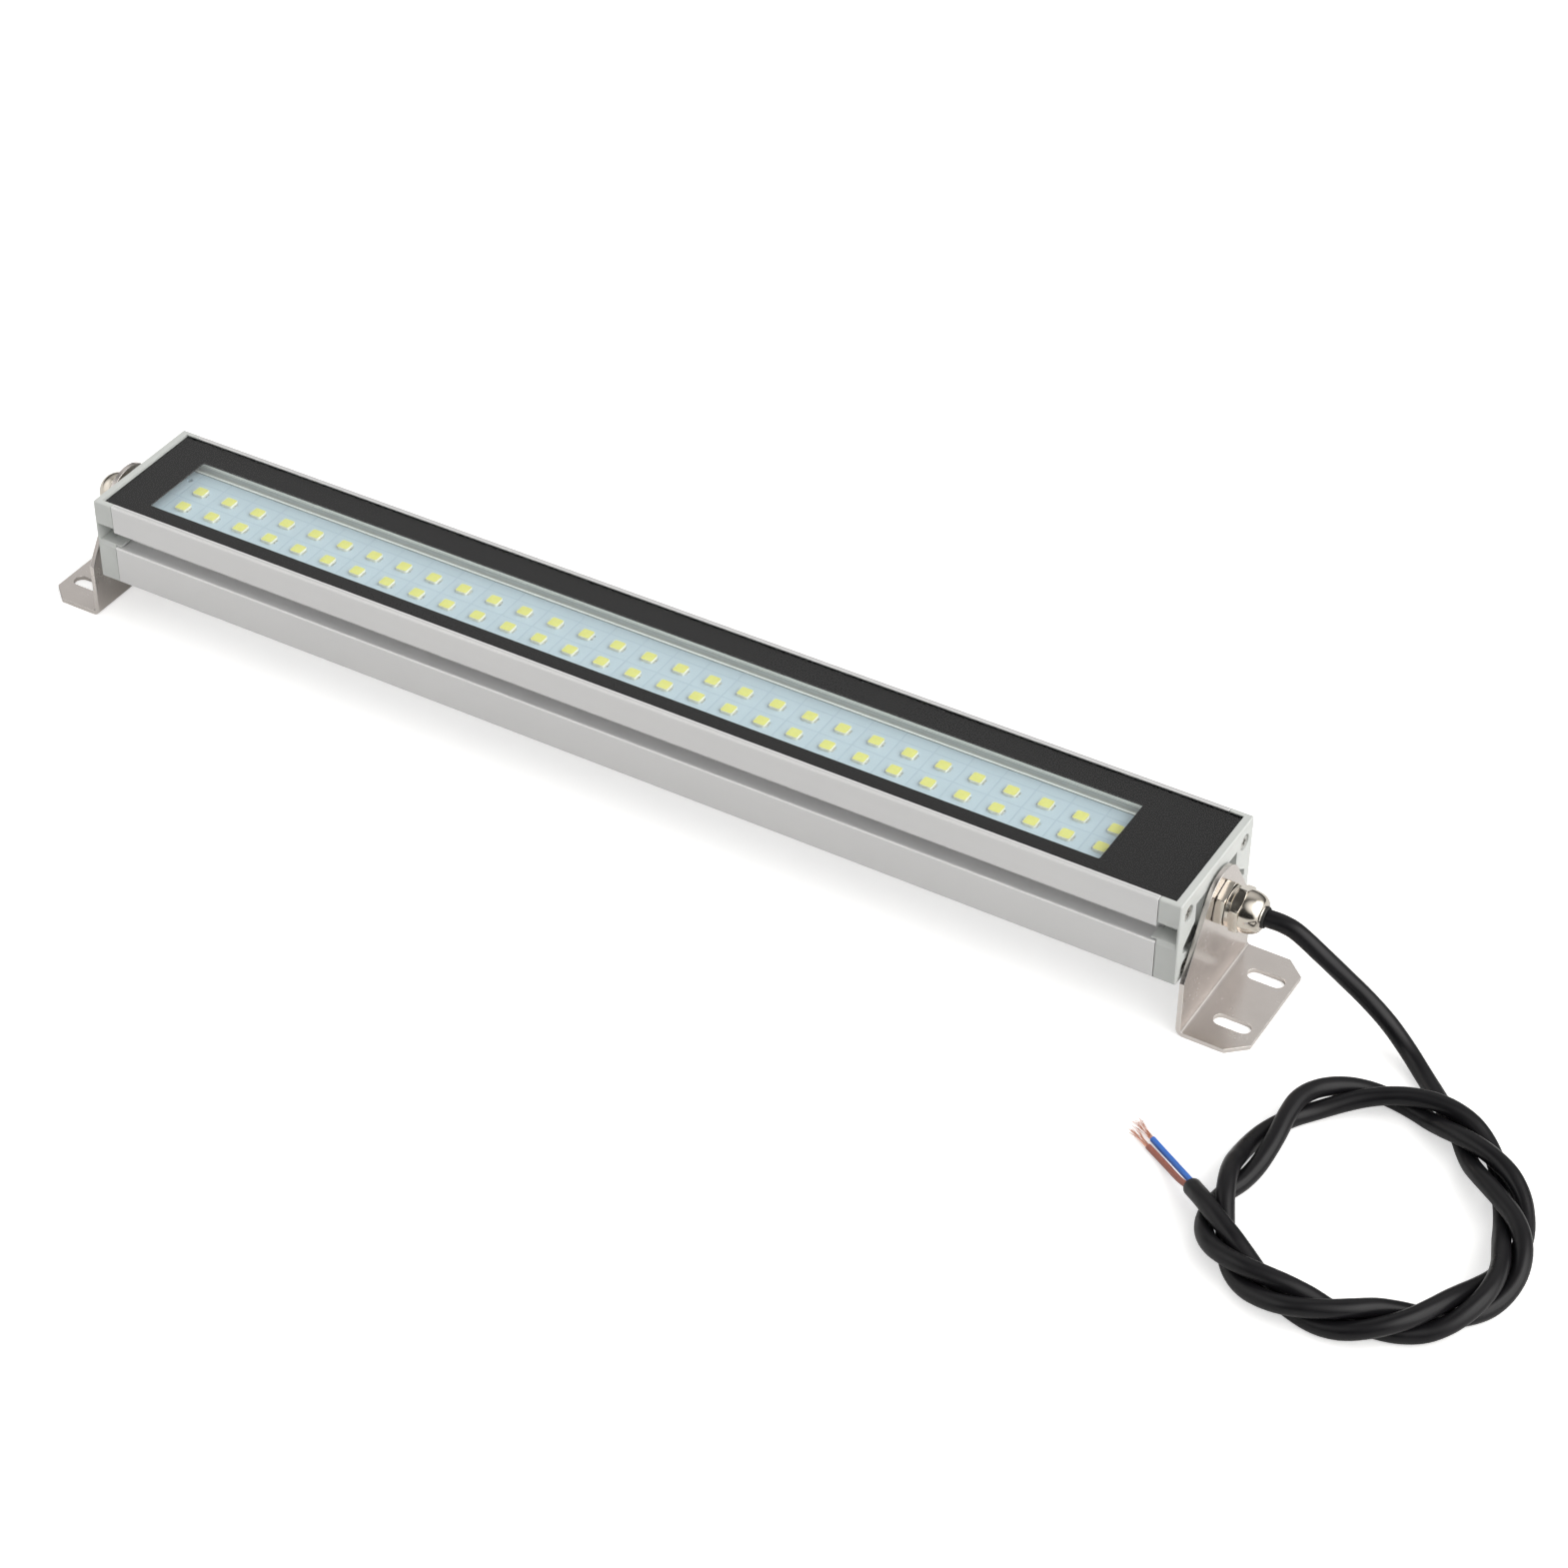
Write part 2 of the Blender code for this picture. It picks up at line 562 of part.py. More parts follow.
def make_glass(look, parent):
    section = [(-GLASS_HALF, GLASS_UNDER), (GLASS_HALF, GLASS_UNDER), (GLASS_HALF, GLASS_TOP),
               (-GLASS_HALF, GLASS_TOP)]
    place("glass_panel", prism(section, -GLASS_END, GLASS_END), look, parent, smooth=False)


def make_border(look, parent):
    """The black frame under the glass round the clear window."""
    frame = [(-GLASS_END, -GLASS_HALF), (GLASS_END, -GLASS_HALF), (GLASS_END, GLASS_HALF),
             (-GLASS_END, GLASS_HALF)]
    left = WINDOW_LEFT_MARGIN - GLASS_END
    right = GLASS_END - WINDOW_RIGHT_MARGIN
    middle = (left + right) / 2
    reach = (right - left) / 2
    window = [(middle + x, y) for x, y in rounded_box(reach, -WINDOW_HALF, WINDOW_HALF, WINDOW_CORNER)]
    mesh = prism(frame, BORDER_TOP - BORDER_THICKNESS, BORDER_TOP, axis="Z", holes=[window])
    place("glass_border_frame", mesh, look, parent, smooth=False)


def led_block(x, y):
    """One LED package, sunk into the board, with its shallow phosphor well."""
    half_x = LED_LENGTH / 2
    half_y = LED_WIDTH / 2
    well_x = half_x - LED_RIM
    well_y = half_y - LED_RIM
    foot = BOARD_TOP - BOARD_THICKNESS / 2
    top = BOARD_TOP + LED_HEIGHT
    rings = []
    for reach_x, reach_y, z in ((half_x, half_y, foot), (half_x, half_y, top),
                                (well_x, well_y, top), (well_x, well_y, top - LED_WELL_DEPTH)):
        rings.append([(x - reach_x, y - reach_y, z), (x + reach_x, y - reach_y, z),
                      (x + reach_x, y + reach_y, z), (x - reach_x, y + reach_y, z)])
    return loft(rings)


def make_led_board(look, parent):
    """The LED board carries two rows of soldered packages."""
    left = BOARD_LEFT_MARGIN - EXTRUSION_END
    right = left + BOARD_LENGTH
    outline = [(left, -BOARD_HALF), (right, -BOARD_HALF), (right, BOARD_HALF), (left, BOARD_HALF)]
    hole = circle(left + BOARD_HOLE_INSET, BOARD_HALF - BOARD_HOLE_INSET, BOARD_HOLE_RADIUS,
                  ROUND_SEGMENTS // 3)
    board = prism(outline, BOARD_TOP - BOARD_THICKNESS, BOARD_TOP, axis="Z", holes=[hole])
    packages = bmesh.new()
    for row in range(LED_ROWS):
        y = (row - (LED_ROWS - 1) / 2) * LED_ROW_SPACING
        for number in range(LED_PER_ROW):
            x = left + LED_FIRST_INSET + number * LED_PITCH
            packages.from_mesh(led_block(x, y))
    mesh = join(board, finish_mesh("packages", packages))
    place("led_board", mesh, look, parent, smooth=False)


def recess_outline():
    """The outer recess of a cap, from its top edge down to its lower gussets."""
    side = SIDE - RECESS_SIDE_BAND
    top = RIM - RECESS_TOP_BAND
    low = BOTTOM + RECESS_BOTTOM_BAND
    gusset = SIDE - GUSSET_TOP_WIDTH
    low_gusset = SIDE - GUSSET_LOW_WIDTH
    half = [(gusset, top), (gusset, top - GUSSET_TOP_DROP),
            (side, top - GUSSET_TOP_DROP - GUSSET_TOP_SLANT),
            (side, low + GUSSET_LOW_RISE + GUSSET_LOW_SLANT),
            (low_gusset, low + GUSSET_LOW_RISE), (low_gusset, low)]
    return both_sides(half)


def notch_outline(way):
    """Section of the cap's notch that carries on the profile's side slot."""
    inner = SIDE - NOTCH_DEPTH
    floor = SLOT_FLOOR + NOTCH_FLOOR_LIFT
    top = SLOT_TOP + NOTCH_RISE
    points = [(inner, top), (inner, floor), (SIDE - NOTCH_STEP_WIDTH, floor),
              (SIDE, floor - NOTCH_STEP_DROP), (SIDE + OVERRUN, floor - NOTCH_STEP_DROP),
              (SIDE + OVERRUN, top)]
    return [(way * y, z) for y, z in points]


def seal_outline(margin):
    top = RIM - SEAL_TOP_BELOW_RIM + margin
    low = LOWER_FLOOR - GAP - SEAL_BAND - margin
    return rounded_box(SEAL_HALF + margin, low, top, SEAL_CORNER + margin)


def make_cap_mesh():
    """Right end cap, cut from a block with the body's own outline."""
    rings = []
    for x, inset in ((CAP_JOINT, 0), (CAP_FACE - CAP_EDGE, 0), (CAP_FACE, CAP_EDGE)):
        outline = rounded_box(SIDE - inset, BOTTOM + inset, RIM - inset, BODY_CORNER)
        rings.append([(x, y, z) for y, z in outline])
    cap = loft(rings)

    glass_room = [(GLASS_SEAT, LIP_UNDER), (GLASS_SEAT, SHELF), (-GLASS_SEAT, SHELF),
                  (-GLASS_SEAT, LIP_UNDER), (-LIP_EDGE, LIP_UNDER), (-LIP_EDGE, RIM + OVERRUN),
                  (LIP_EDGE, RIM + OVERRUN), (LIP_EDGE, LIP_UNDER)]
    glass_cut = prism(glass_room, CAP_JOINT - OVERRUN, GLASS_END + GAP)
    pocket_top = SHELF - CAP_SHELF
    pocket = [(-POCKET_HALF, LOWER_FLOOR), (POCKET_HALF, LOWER_FLOOR), (POCKET_HALF, pocket_top),
              (-POCKET_HALF, pocket_top)]
    pocket_cut = prism(pocket, CAP_JOINT - OVERRUN, POCKET_FLOOR)
    seal_cut = prism(seal_outline(GAP), CAP_JOINT - OVERRUN, CAP_JOINT + SEAL_THICKNESS + GAP)
    recess_cut = cut(prism(recess_outline(), RECESS_FLOOR, CAP_FACE + OVERRUN),
                     cylinder(RECESS_FLOOR - OVERRUN, CAP_FACE + 2 * OVERRUN, HUB_RADIUS))
    tongue_inner = SLOT_BACK + GAP
    tongue = box((CAP_JOINT - TONGUE_LENGTH, tongue_inner, SLOT_FLOOR + GAP),
                 (CAP_JOINT + OVERRUN, tongue_inner + TONGUE_WIDTH, SLOT_FLOOR + GAP + TONGUE_THICKNESS))
    other_tongue = tongue.copy()
    other_tongue.transform(Matrix.Scale(-1, 4, (0, 1, 0)))
    other_tongue.flip_normals()
    cap = join(cap, tongue, other_tongue)
    cutters = [glass_cut, pocket_cut, seal_cut, recess_cut,
               cylinder(CAP_JOINT - OVERRUN, CAP_FACE + OVERRUN, HOLE_RADIUS)]
    for way in (1, -1):
        cutters.append(prism(notch_outline(way), CAP_JOINT - OVERRUN, CAP_FACE - NOTCH_END_WALL))
    for y, z in screw_places():
        head_room = SCREW_HEAD_RADIUS + GAP
        cutters.append(lathe([(CAP_JOINT - OVERRUN, 0), (CAP_JOINT - OVERRUN, PORT_RADIUS),
                              (CAP_FACE - COUNTERBORE_DEPTH, PORT_RADIUS),
                              (CAP_FACE - COUNTERBORE_DEPTH, head_room),
                              (CAP_FACE + OVERRUN, head_room), (CAP_FACE + OVERRUN, 0)],
                              ROUND_SEGMENTS // 2))
        cutters[-1].transform(Matrix.Translation((0, y, z)))
    return cut(cap, *cutters)


def make_cap_seal_mesh():
    """Rubber seal ring lying in the cap's groove, against the end of the profile."""
    inner = seal_outline(-SEAL_BAND)
    return prism(seal_outline(0), CAP_JOINT, CAP_JOINT + SEAL_THICKNESS, holes=[inner])


def make_screw_mesh():
    """Cross-drive cap screw, its head face towards +X at x = 0."""
    under = -SCREW_HEAD_HEIGHT
    tip = -SCREW_LENGTH
    profile = [(tip, 0), (tip, SCREW_SHANK_RADIUS / 2), (tip + SCREW_SHANK_RADIUS, SCREW_SHANK_RADIUS),
               (under, SCREW_SHANK_RADIUS), (under, SCREW_HEAD_RADIUS),
               (-SCREW_HEAD_ROUND, SCREW_HEAD_RADIUS),
               (0, SCREW_HEAD_RADIUS - SCREW_HEAD_ROUND), (0, 0)]
    screw = lathe(profile, ROUND_SEGMENTS // 2)
    half = SCREW_DRIVE_WIDTH / 2
    reach = SCREW_DRIVE_SPAN / 2
    slot = [(half, half), (half, reach), (-half, reach), (-half, half), (-reach, half), (-reach, -half),
            (-half, -half), (-half, -reach), (half, -reach), (half, -half), (reach, -half), (reach, half)]
    return cut(screw, prism(slot, -SCREW_DRIVE_DEPTH, OVERRUN))


def make_ends(looks, parent):
    cap = make_cap_mesh()
    seal = make_cap_seal_mesh()
    screw = make_screw_mesh()
    face = CAP_FACE - COUNTERBORE_DEPTH + GAP + SCREW_HEAD_HEIGHT
    labels = ("top_rear", "top_front", "low_rear", "low_front")
    for side, way in (("right", 1), ("left", -1)):
        place("end_cap_" + side, cap if way == 1 else mirrored(cap), looks["cap"], parent)
        place("end_seal_" + side, seal if way == 1 else mirrored(seal), looks["rubber"], parent)
        turn = 0 if way == 1 else math.pi
        for label, (y, z) in zip(labels, screw_places()):
            place("cap_screw_" + side + "_" + label, screw, looks["screw"], parent, (way * face, y, z),
                  (0, 0, turn))


def bracket_profile():
    """The bent sheet seen from the side: upright, bend and foot. The sheet starts at x = 0."""
    outer = BEND_RADIUS + SHEET
    floor = -FOOT_DROP
    quarter = math.pi / 2
    top = HEAD_RADIUS + OVERRUN
    points = [(0, top)]
    points += arc(outer, floor + outer, outer, 2 * quarter, 3 * quarter, BEND_STEPS)
    points += [(SHEET + FOOT_REACH, floor), (SHEET + FOOT_REACH, floor + SHEET)]
    points += list(reversed(arc(outer, floor + outer, BEND_RADIUS, 2 * quarter, 3 * quarter, BEND_STEPS)))
    points += [(SHEET, top)]
    return points


def head_cutter():
    """All that lies outside the tapered upright and its round head."""
    side = FOOT_WIDTH / 2
    shoulder = -SHOULDER_BELOW_AXIS
    distance = math.hypot(side, shoulder)
    tangent = math.atan2(shoulder, side) + math.acos(HEAD_RADIUS / distance)
    beyond = side + OVERRUN
    high = HEAD_RADIUS + 2 * OVERRUN
    points = [(-beyond, shoulder), (-side, shoulder)]
    points += arc(0, 0, HEAD_RADIUS, math.pi - tangent, tangent, ROUND_SEGMENTS // 2)
    points += [(side, shoulder), (beyond, shoulder), (beyond, high), (-beyond, high)]
    return prism(points, -OVERRUN, SHEET + OVERRUN)


def slot_cutter(y):
    """One long hole through the foot, its length along X."""
    middle = SHEET + SLOT_HOLE_OUT
    radius = SLOT_HOLE_WIDTH / 2
    straight = SLOT_HOLE_LENGTH / 2 - radius
    quarter = math.pi / 2
    steps = ROUND_SEGMENTS // 4
    outline = arc(middle + straight, y, radius, -quarter, quarter, steps)
    outline += arc(middle - straight, y, radius, quarter, 3 * quarter, steps)
    return prism(outline, -FOOT_DROP - OVERRUN, SHEET + OVERRUN - FOOT_DROP, axis="Z")


def corner_cutter(way):
    """A foot's outer corner, cut off at a slant."""
    tip = SHEET + FOOT_REACH
    side = FOOT_WIDTH / 2
    ratio = FOOT_CHAMFER_Y / FOOT_CHAMFER_X
    extra = OVERRUN * ratio
    points = [(tip - FOOT_CHAMFER_X - OVERRUN, way * (side + extra)),
              (tip + OVERRUN, way * (side - FOOT_CHAMFER_Y - extra)), (tip + OVERRUN, way * (side + extra))]
    return prism(points, -FOOT_DROP - OVERRUN, SHEET + OVERRUN - FOOT_DROP, axis="Z")


def make_bracket_mesh():
    sheet = prism(bracket_profile(), -FOOT_WIDTH / 2, FOOT_WIDTH / 2, axis="Y")
    cutters = [head_cutter(), cylinder(-OVERRUN, SHEET + OVERRUN, HOLE_RADIUS)]
    for way in (1, -1):
        cutters.append(slot_cutter(way * SLOT_HOLE_SPACING / 2))
        cutters.append(corner_cutter(way))
    return cut(sheet, *cutters)


def hexagon(low, high, turn=0.0):
    """A six-sided nut blank with its corners turned off at both ends."""
    corner = NUT_ACROSS_FLATS / 2 / math.cos(math.pi / 6)
    outline = [(corner * math.cos(turn + index * math.pi / 3),
                corner * math.sin(turn + index * math.pi / 3))
               for index in range(6)]
    rim = corner - NUT_CHAMFER
    barrel = [(low - OVERRUN, 0), (low - OVERRUN, rim - 2 * OVERRUN), (low + NUT_CHAMFER / 2, corner + GAP),
              (high - NUT_CHAMFER / 2, corner + GAP), (high + OVERRUN, rim - 2 * OVERRUN),
              (high + OVERRUN, 0)]
    return overlap(prism(outline, low, high), lathe(barrel))


def make_gland(looks, parent):
    """Body, washer, locknut, rubber sleeve and dome nut, outwards along the axis."""
    bore = CORD_RADIUS + GAP
    hex_end = RIGHT_BODY + GLAND_HEX_LENGTH
    inner_end = CAP_JOINT + GAP
    spout_end = hex_end + SPOUT_LENGTH
    ring_end = RIGHT_BODY + GLAND_RING_LENGTH
    body = lathe([(inner_end, 0), (inner_end, THREAD_RADIUS - EDGE_BREAK),
                  (inner_end + EDGE_BREAK, THREAD_RADIUS),
                  (RIGHT_BODY, THREAD_RADIUS), (RIGHT_BODY, GLAND_RING_RADIUS),
                  (ring_end, GLAND_RING_RADIUS),
                  (ring_end, SPOUT_RADIUS), (spout_end, SPOUT_RADIUS), (spout_end, 0)])
    body = join(body, hexagon(RIGHT_BODY + GLAND_RING_LENGTH / 2, hex_end, GLAND_HEX_TURN))
    body = cut(body, cylinder(inner_end - OVERRUN, spout_end + OVERRUN, bore))
    place("gland_body", body, looks["nickel"], parent)

    washer = prism(circle(0, 0, WASHER_RADIUS), RIGHT_WASHER, RIGHT_WASHER + WASHER_THICKNESS,
                   holes=[circle(0, 0, HOLE_RADIUS)])
    place("gland_washer", washer, looks["rubber"], parent)
    locknut_low = POCKET_FLOOR - GAP - LOCKNUT_THICKNESS
    locknut = cut(hexagon(locknut_low, POCKET_FLOOR - GAP, GLAND_HEX_TURN),
                  cylinder(locknut_low - OVERRUN, POCKET_FLOOR + OVERRUN, HOLE_RADIUS))
    place("gland_locknut", locknut, looks["nickel"], parent)

    collar_end = DOME_NUT + DOME_COLLAR_LENGTH
    dome_start = collar_end + DOME_HEX_LENGTH
    quarter = math.pi / 2
    steps = ROUND_SEGMENTS // 6
    fall = DOME_RADIUS - DOME_MOUTH_OUTER
    dome = []
    for step in range(steps + 1):
        turn = quarter * step / steps
        dome.append((dome_start + (DOME_LENGTH - DOME_LIP) * math.sin(turn),
                     DOME_MOUTH_OUTER + fall * math.cos(turn)))
    nut = lathe([(DOME_NUT, 0), (DOME_NUT, DOME_COLLAR_RADIUS), (collar_end, DOME_COLLAR_RADIUS)] + dome
                + [(DOME_MOUTH_X, DOME_MOUTH_OUTER - DOME_LIP), (DOME_MOUTH_X, 0)])
    nut = join(nut, hexagon(collar_end, dome_start, DOME_HEX_TURN))
    cavity = SPOUT_RADIUS + GAP
    cavity_end = DOME_MOUTH_X - DOME_CAVITY_MARGIN
    room = lathe([(DOME_NUT - OVERRUN, 0), (DOME_NUT - OVERRUN, cavity), (cavity_end, cavity),
                  (cavity_end, DOME_MOUTH), (DOME_MOUTH_X + OVERRUN, DOME_MOUTH),
                  (DOME_MOUTH_X + OVERRUN, 0)])
    place("gland_dome_nut", cut(nut, room), looks["nickel"], parent)

    sleeve_start = spout_end + GAP
    sleeve_shoulder = cavity_end - GAP
    sleeve = [(sleeve_start, bore), (sleeve_start, SPOUT_RADIUS), (sleeve_shoulder, SPOUT_RADIUS),
              (sleeve_shoulder, SLEEVE_NECK_RADIUS), (SLEEVE_END - EDGE_BREAK, SLEEVE_NECK_RADIUS),
              (SLEEVE_END, SLEEVE_NECK_RADIUS - EDGE_BREAK), (SLEEVE_END, bore)]
    place("gland_seal_sleeve", lathe(sleeve, closed=True), looks["rubber"], parent)
    inlet = cylinder(CAP_JOINT + INLET_DEPTH, SLEEVE_END, CORD_RADIUS, segments=ROUND_SEGMENTS // 2)
    place("cord_inlet", inlet, looks["cord"], parent)


def make_left_fitting(looks, parent):
    """Threaded spacer through the cap, its locknut inside and a blind dome nut outside."""
    inner_end = CAP_JOINT + GAP
    stud_end = LEFT_NUT + BLIND_STUD_LENGTH
    spacer_end = LEFT_SPACER + SPACER_HEX_LENGTH
    stud = lathe([(inner_end, 0), (inner_end, THREAD_RADIUS - EDGE_BREAK),
                  (inner_end + EDGE_BREAK, THREAD_RADIUS),
                  (stud_end - EDGE_BREAK, THREAD_RADIUS), (stud_end, THREAD_RADIUS - EDGE_BREAK),
                  (stud_end, 0)])
    stud = join(stud, hexagon(LEFT_SPACER, spacer_end, GLAND_HEX_TURN))
    place("swivel_spacer_left", mirrored(stud), looks["nickel"], parent)

    locknut_low = POCKET_FLOOR - GAP - LOCKNUT_THICKNESS
    locknut = cut(hexagon(locknut_low, POCKET_FLOOR - GAP, GLAND_HEX_TURN),
                  cylinder(locknut_low - OVERRUN, POCKET_FLOOR + OVERRUN, HOLE_RADIUS))
    place("swivel_locknut_left", mirrored(locknut), looks["nickel"], parent)

    dome_start = LEFT_NUT + BLIND_HEX_LENGTH
    quarter = math.pi / 2
    steps = ROUND_SEGMENTS // 6
    profile = [(LEFT_NUT, 0), (LEFT_NUT, BLIND_DOME_RADIUS)]
    for step in range(steps + 1):
        turn = quarter * step / steps
        radius = BLIND_DOME_RADIUS * math.cos(turn) if step < steps else 0
        profile.append((dome_start + BLIND_DOME_RADIUS * math.sin(turn), radius))
    nut = join(lathe(profile), hexagon(LEFT_NUT, dome_start, DOME_HEX_TURN))
    bore_end = stud_end + BLIND_BORE_EXTRA
    nut = cut(nut, cylinder(LEFT_NUT - OVERRUN, bore_end, HOLE_RADIUS))
    place("blind_dome_nut_left", mirrored(nut), looks["nickel"], parent)


def make_tube(name, points, diameter, look, resolution, parent=None):
    curve = bpy.data.curves.new(name, "CURVE")
    curve.dimensions = "3D"
    curve.bevel_depth = diameter / 2
    curve.bevel_resolution = resolution
    curve.use_fill_caps = True
    line = curve.splines.new("POLY")
    line.points.add(len(points) - 1)
    for spot, point in zip(line.points, points):
        spot.co = (*point, 1)
    line.use_smooth = True
    curve.materials.append(look)
    return add_object(name, curve, parent)


def smooth_route(route, step):
    """Read evenly spaced points from a smooth curve through the chosen ones."""
    knots = [Vector(point) for point in route]
    ends = [2 * knots[0] - knots[1]] + knots + [2 * knots[-1] - knots[-2]]
    dense = []
    samples = 20
    for index in range(1, len(ends) - 2):
        before, start, end, after = ends[index - 1:index + 3]
        for number in range(samples):
            t = number / samples
            bend = 2 * before - 5 * start + 4 * end - after
            twist = 3 * start - before - 3 * end + after
            dense.append(0.5 * (2 * start + (end - before) * t + bend * t ** 2 + twist * t ** 3))
    dense.append(knots[-1])
    length = sum((b - a).length for a, b in zip(dense, dense[1:]))
    count = max(2, round(length / step))
    points = [dense[0]]
    walked = 0.0
    for a, b in zip(dense, dense[1:]):
        walked += (b - a).length
        if walked >= length * len(points) / count and len(points) < count:
            points.append(b)
    return points + [dense[-1]]


def make_driver(looks, parent):
    """The driver board in its tray, with its choke, capacitor, terminal and wires."""
    right = EXTRUSION_END - TRAY_END_MARGIN
    inner = TRAY_HALF - TRAY_WALL
    ledge = TRAY_FLOOR + TRAY_LEDGE_HEIGHT
    section = [(TRAY_HALF, TRAY_FLOOR + TRAY_HEIGHT), (inner, TRAY_FLOOR + TRAY_HEIGHT), (inner, ledge),
               (inner - TRAY_LEDGE_WIDTH, ledge), (inner - TRAY_LEDGE_WIDTH, TRAY_FLOOR + TRAY_WALL)]
    tray = [(TRAY_HALF, TRAY_FLOOR)] + both_sides(section) + [(-TRAY_HALF, TRAY_FLOOR)]
    place("driver_tray", prism(tray, right - TRAY_LENGTH, right), looks["tray"], parent, smooth=False)

    board_half = inner - GAP
    left = DRIVER_RIGHT - DRIVER_LENGTH
    board = box((left, -board_half, DRIVER_UNDER), (DRIVER_RIGHT, board_half, DRIVER_TOP))
    place("driver_board", board, looks["driver"], parent, smooth=False)

    seat = DRIVER_TOP + GAP
    waist = CAPACITOR_HEIGHT / 6
    narrow = CAPACITOR_RADIUS - CAPACITOR_CRIMP
    can = lathe([(0, 0), (0, CAPACITOR_RADIUS), (waist, CAPACITOR_RADIUS),
                 (waist + CAPACITOR_CRIMP, narrow),
                 (waist + 3 * CAPACITOR_CRIMP, CAPACITOR_RADIUS),
                 (CAPACITOR_HEIGHT - CAPACITOR_CRIMP, CAPACITOR_RADIUS),
                 (CAPACITOR_HEIGHT, narrow), (CAPACITOR_HEIGHT, 0)], ROUND_SEGMENTS // 2)
    spot = (DRIVER_RIGHT - CAPACITOR_SHARE * DRIVER_LENGTH, CAPACITOR_SIDE_SHARE * board_half, seat)
    place("driver_capacitor", can, looks["can"], parent, spot, (0, -math.pi / 2, 0))

    reach = CHOKE_LENGTH / 2
    neck = CHOKE_NECK
    bobbin = [(-reach, 0), (reach, 0), (reach, 2 * neck), (reach - neck, 2 * neck),
              (reach - neck, CHOKE_HEIGHT - 2 * neck), (reach, CHOKE_HEIGHT - 2 * neck),
              (reach, CHOKE_HEIGHT),
              (-reach, CHOKE_HEIGHT), (-reach, CHOKE_HEIGHT - 2 * neck),
              (neck - reach, CHOKE_HEIGHT - 2 * neck),
              (neck - reach, 2 * neck), (-reach, 2 * neck)]
    choke = prism(bobbin, -CHOKE_WIDTH / 2, CHOKE_WIDTH / 2, axis="Y")
    spot = (DRIVER_RIGHT - CHOKE_SHARE * DRIVER_LENGTH, 0, seat)
    place("driver_choke", choke, looks["choke"], parent, spot, smooth=False)

    face = DRIVER_RIGHT - TERMINAL_INSET
    wire_z = seat + TERMINAL_HEIGHT / 2
    block = box((face - TERMINAL_LENGTH, -TERMINAL_WIDTH / 2, seat),
                (face, TERMINAL_WIDTH / 2, seat + TERMINAL_HEIGHT))
    wells = [cylinder(face - TERMINAL_WELL_DEPTH, face + OVERRUN, TERMINAL_WELL_RADIUS,
                      way * CORE_SPACING, wire_z,
                      ROUND_SEGMENTS // 3) for way in (1, -1)]
    place("driver_terminal", cut(block, *wells), looks["terminal"], parent, smooth=False)

    start = CAP_JOINT + INLET_DEPTH - GAP
    run = start - face
    for name, way, look in (("feed_wire_brown", 1, looks["brown"]), ("feed_wire_blue", -1, looks["blue"])):
        near = way * (CORE_DIAMETER / 2 + GAP / 2)
        far = way * CORE_SPACING
        route = [(start, near, 0), (start - run / 6, near, -CORE_DIAMETER / 6),
                 (start - run / 2, (near + far) / 2, wire_z / 2), (face + run / 6, far, wire_z),
                 (face - TERMINAL_WELL_DEPTH / 2, far, wire_z)]
        make_tube(name, smooth_route(route, 2 * CORE_DIAMETER), CORE_DIAMETER, look,
                  CORD_SIDES_RESOLUTION, parent)

    board_end = BOARD_LEFT_MARGIN - EXTRUSION_END + BOARD_LENGTH
    radius = LEAD_WIRE_DIAMETER / 2
    turn_x = (CAP_JOINT + SEAL_THICKNESS + POCKET_FLOOR) / 2
    high = BOARD_TOP + GAP + radius
    low = DRIVER_TOP + GAP + radius
    for name, number, look in (("board_wire_red", 0, looks["red"]),
                               ("board_wire_black", 1, looks["black"])):
        y = LEAD_WIRE_INSET - POCKET_HALF + number * LEAD_WIRE_SPACING
        route = [(board_end - LED_PITCH / 4, y, high), (board_end + LED_PITCH / 4, y, high),
                 (EXTRUSION_END - LEAD_WIRE_SPACING, y, high), (turn_x, y, WEB_UNDER),
                 (turn_x, y, SLOT_FLOOR),
                 (EXTRUSION_END - LEAD_WIRE_SPACING, y, SLOT_FLOOR - LEAD_WIRE_SPACING),
                 (DRIVER_RIGHT + DRIVER_END_MARGIN, y, low + LEAD_WIRE_DIAMETER),
                 (DRIVER_RIGHT - TERMINAL_INSET, y, low)]
        make_tube(name, smooth_route(route, 3 * LEAD_WIRE_DIAMETER), LEAD_WIRE_DIAMETER, look,
                  CORD_SIDES_RESOLUTION, parent)


def least_self_gap(points, diameter):
    """Shortest clear distance between far stretches of one tube."""
    parts = 6
    dense = []
    for a, b in zip(points, points[1:]):
        dense += [(a + (b - a) * part / parts) for part in range(parts)]
    travelled = [0.0]
    for a, b in zip(dense, dense[1:]):
        travelled.append(travelled[-1] + (b - a).length)
    least = travelled[-1]
    for index, point in enumerate(dense):
        for other in range(index + 1, len(dense)):
            if travelled[other] - travelled[index] > COIL_LEAST_ARC:
                least = min(least, (dense[other] - point).length)
    return least - diameter


def make_strands(name, tip, heading, look):
    """Bare copper strands fanning out of a core, as one tapering tuft."""
    base = Vector(tip) + heading * GAP
    side = Vector((-heading.y, heading.x, 0))
    up = Vector((0, 0, 1))
    count = 8
    rings = []
    for share, swell in ((0.0, 0.0), (0.45, 0.3), (1.0, 1.0)):
        centre = base + heading * STRAND_LENGTH * share
        centre.z = max(base.z * (1 - share), STRAND_RADIUS)
        wide = STRAND_RADIUS + (STRAND_SPREAD - STRAND_RADIUS) * swell
        tall = STRAND_RADIUS * (1 - swell / 3)
        turns = [math.tau * number / count for number in range(count)]
        rings.append([centre + side * wide * math.cos(turn) + up * tall * math.sin(turn) for turn in turns])
    place(name, loft(rings), look, None)


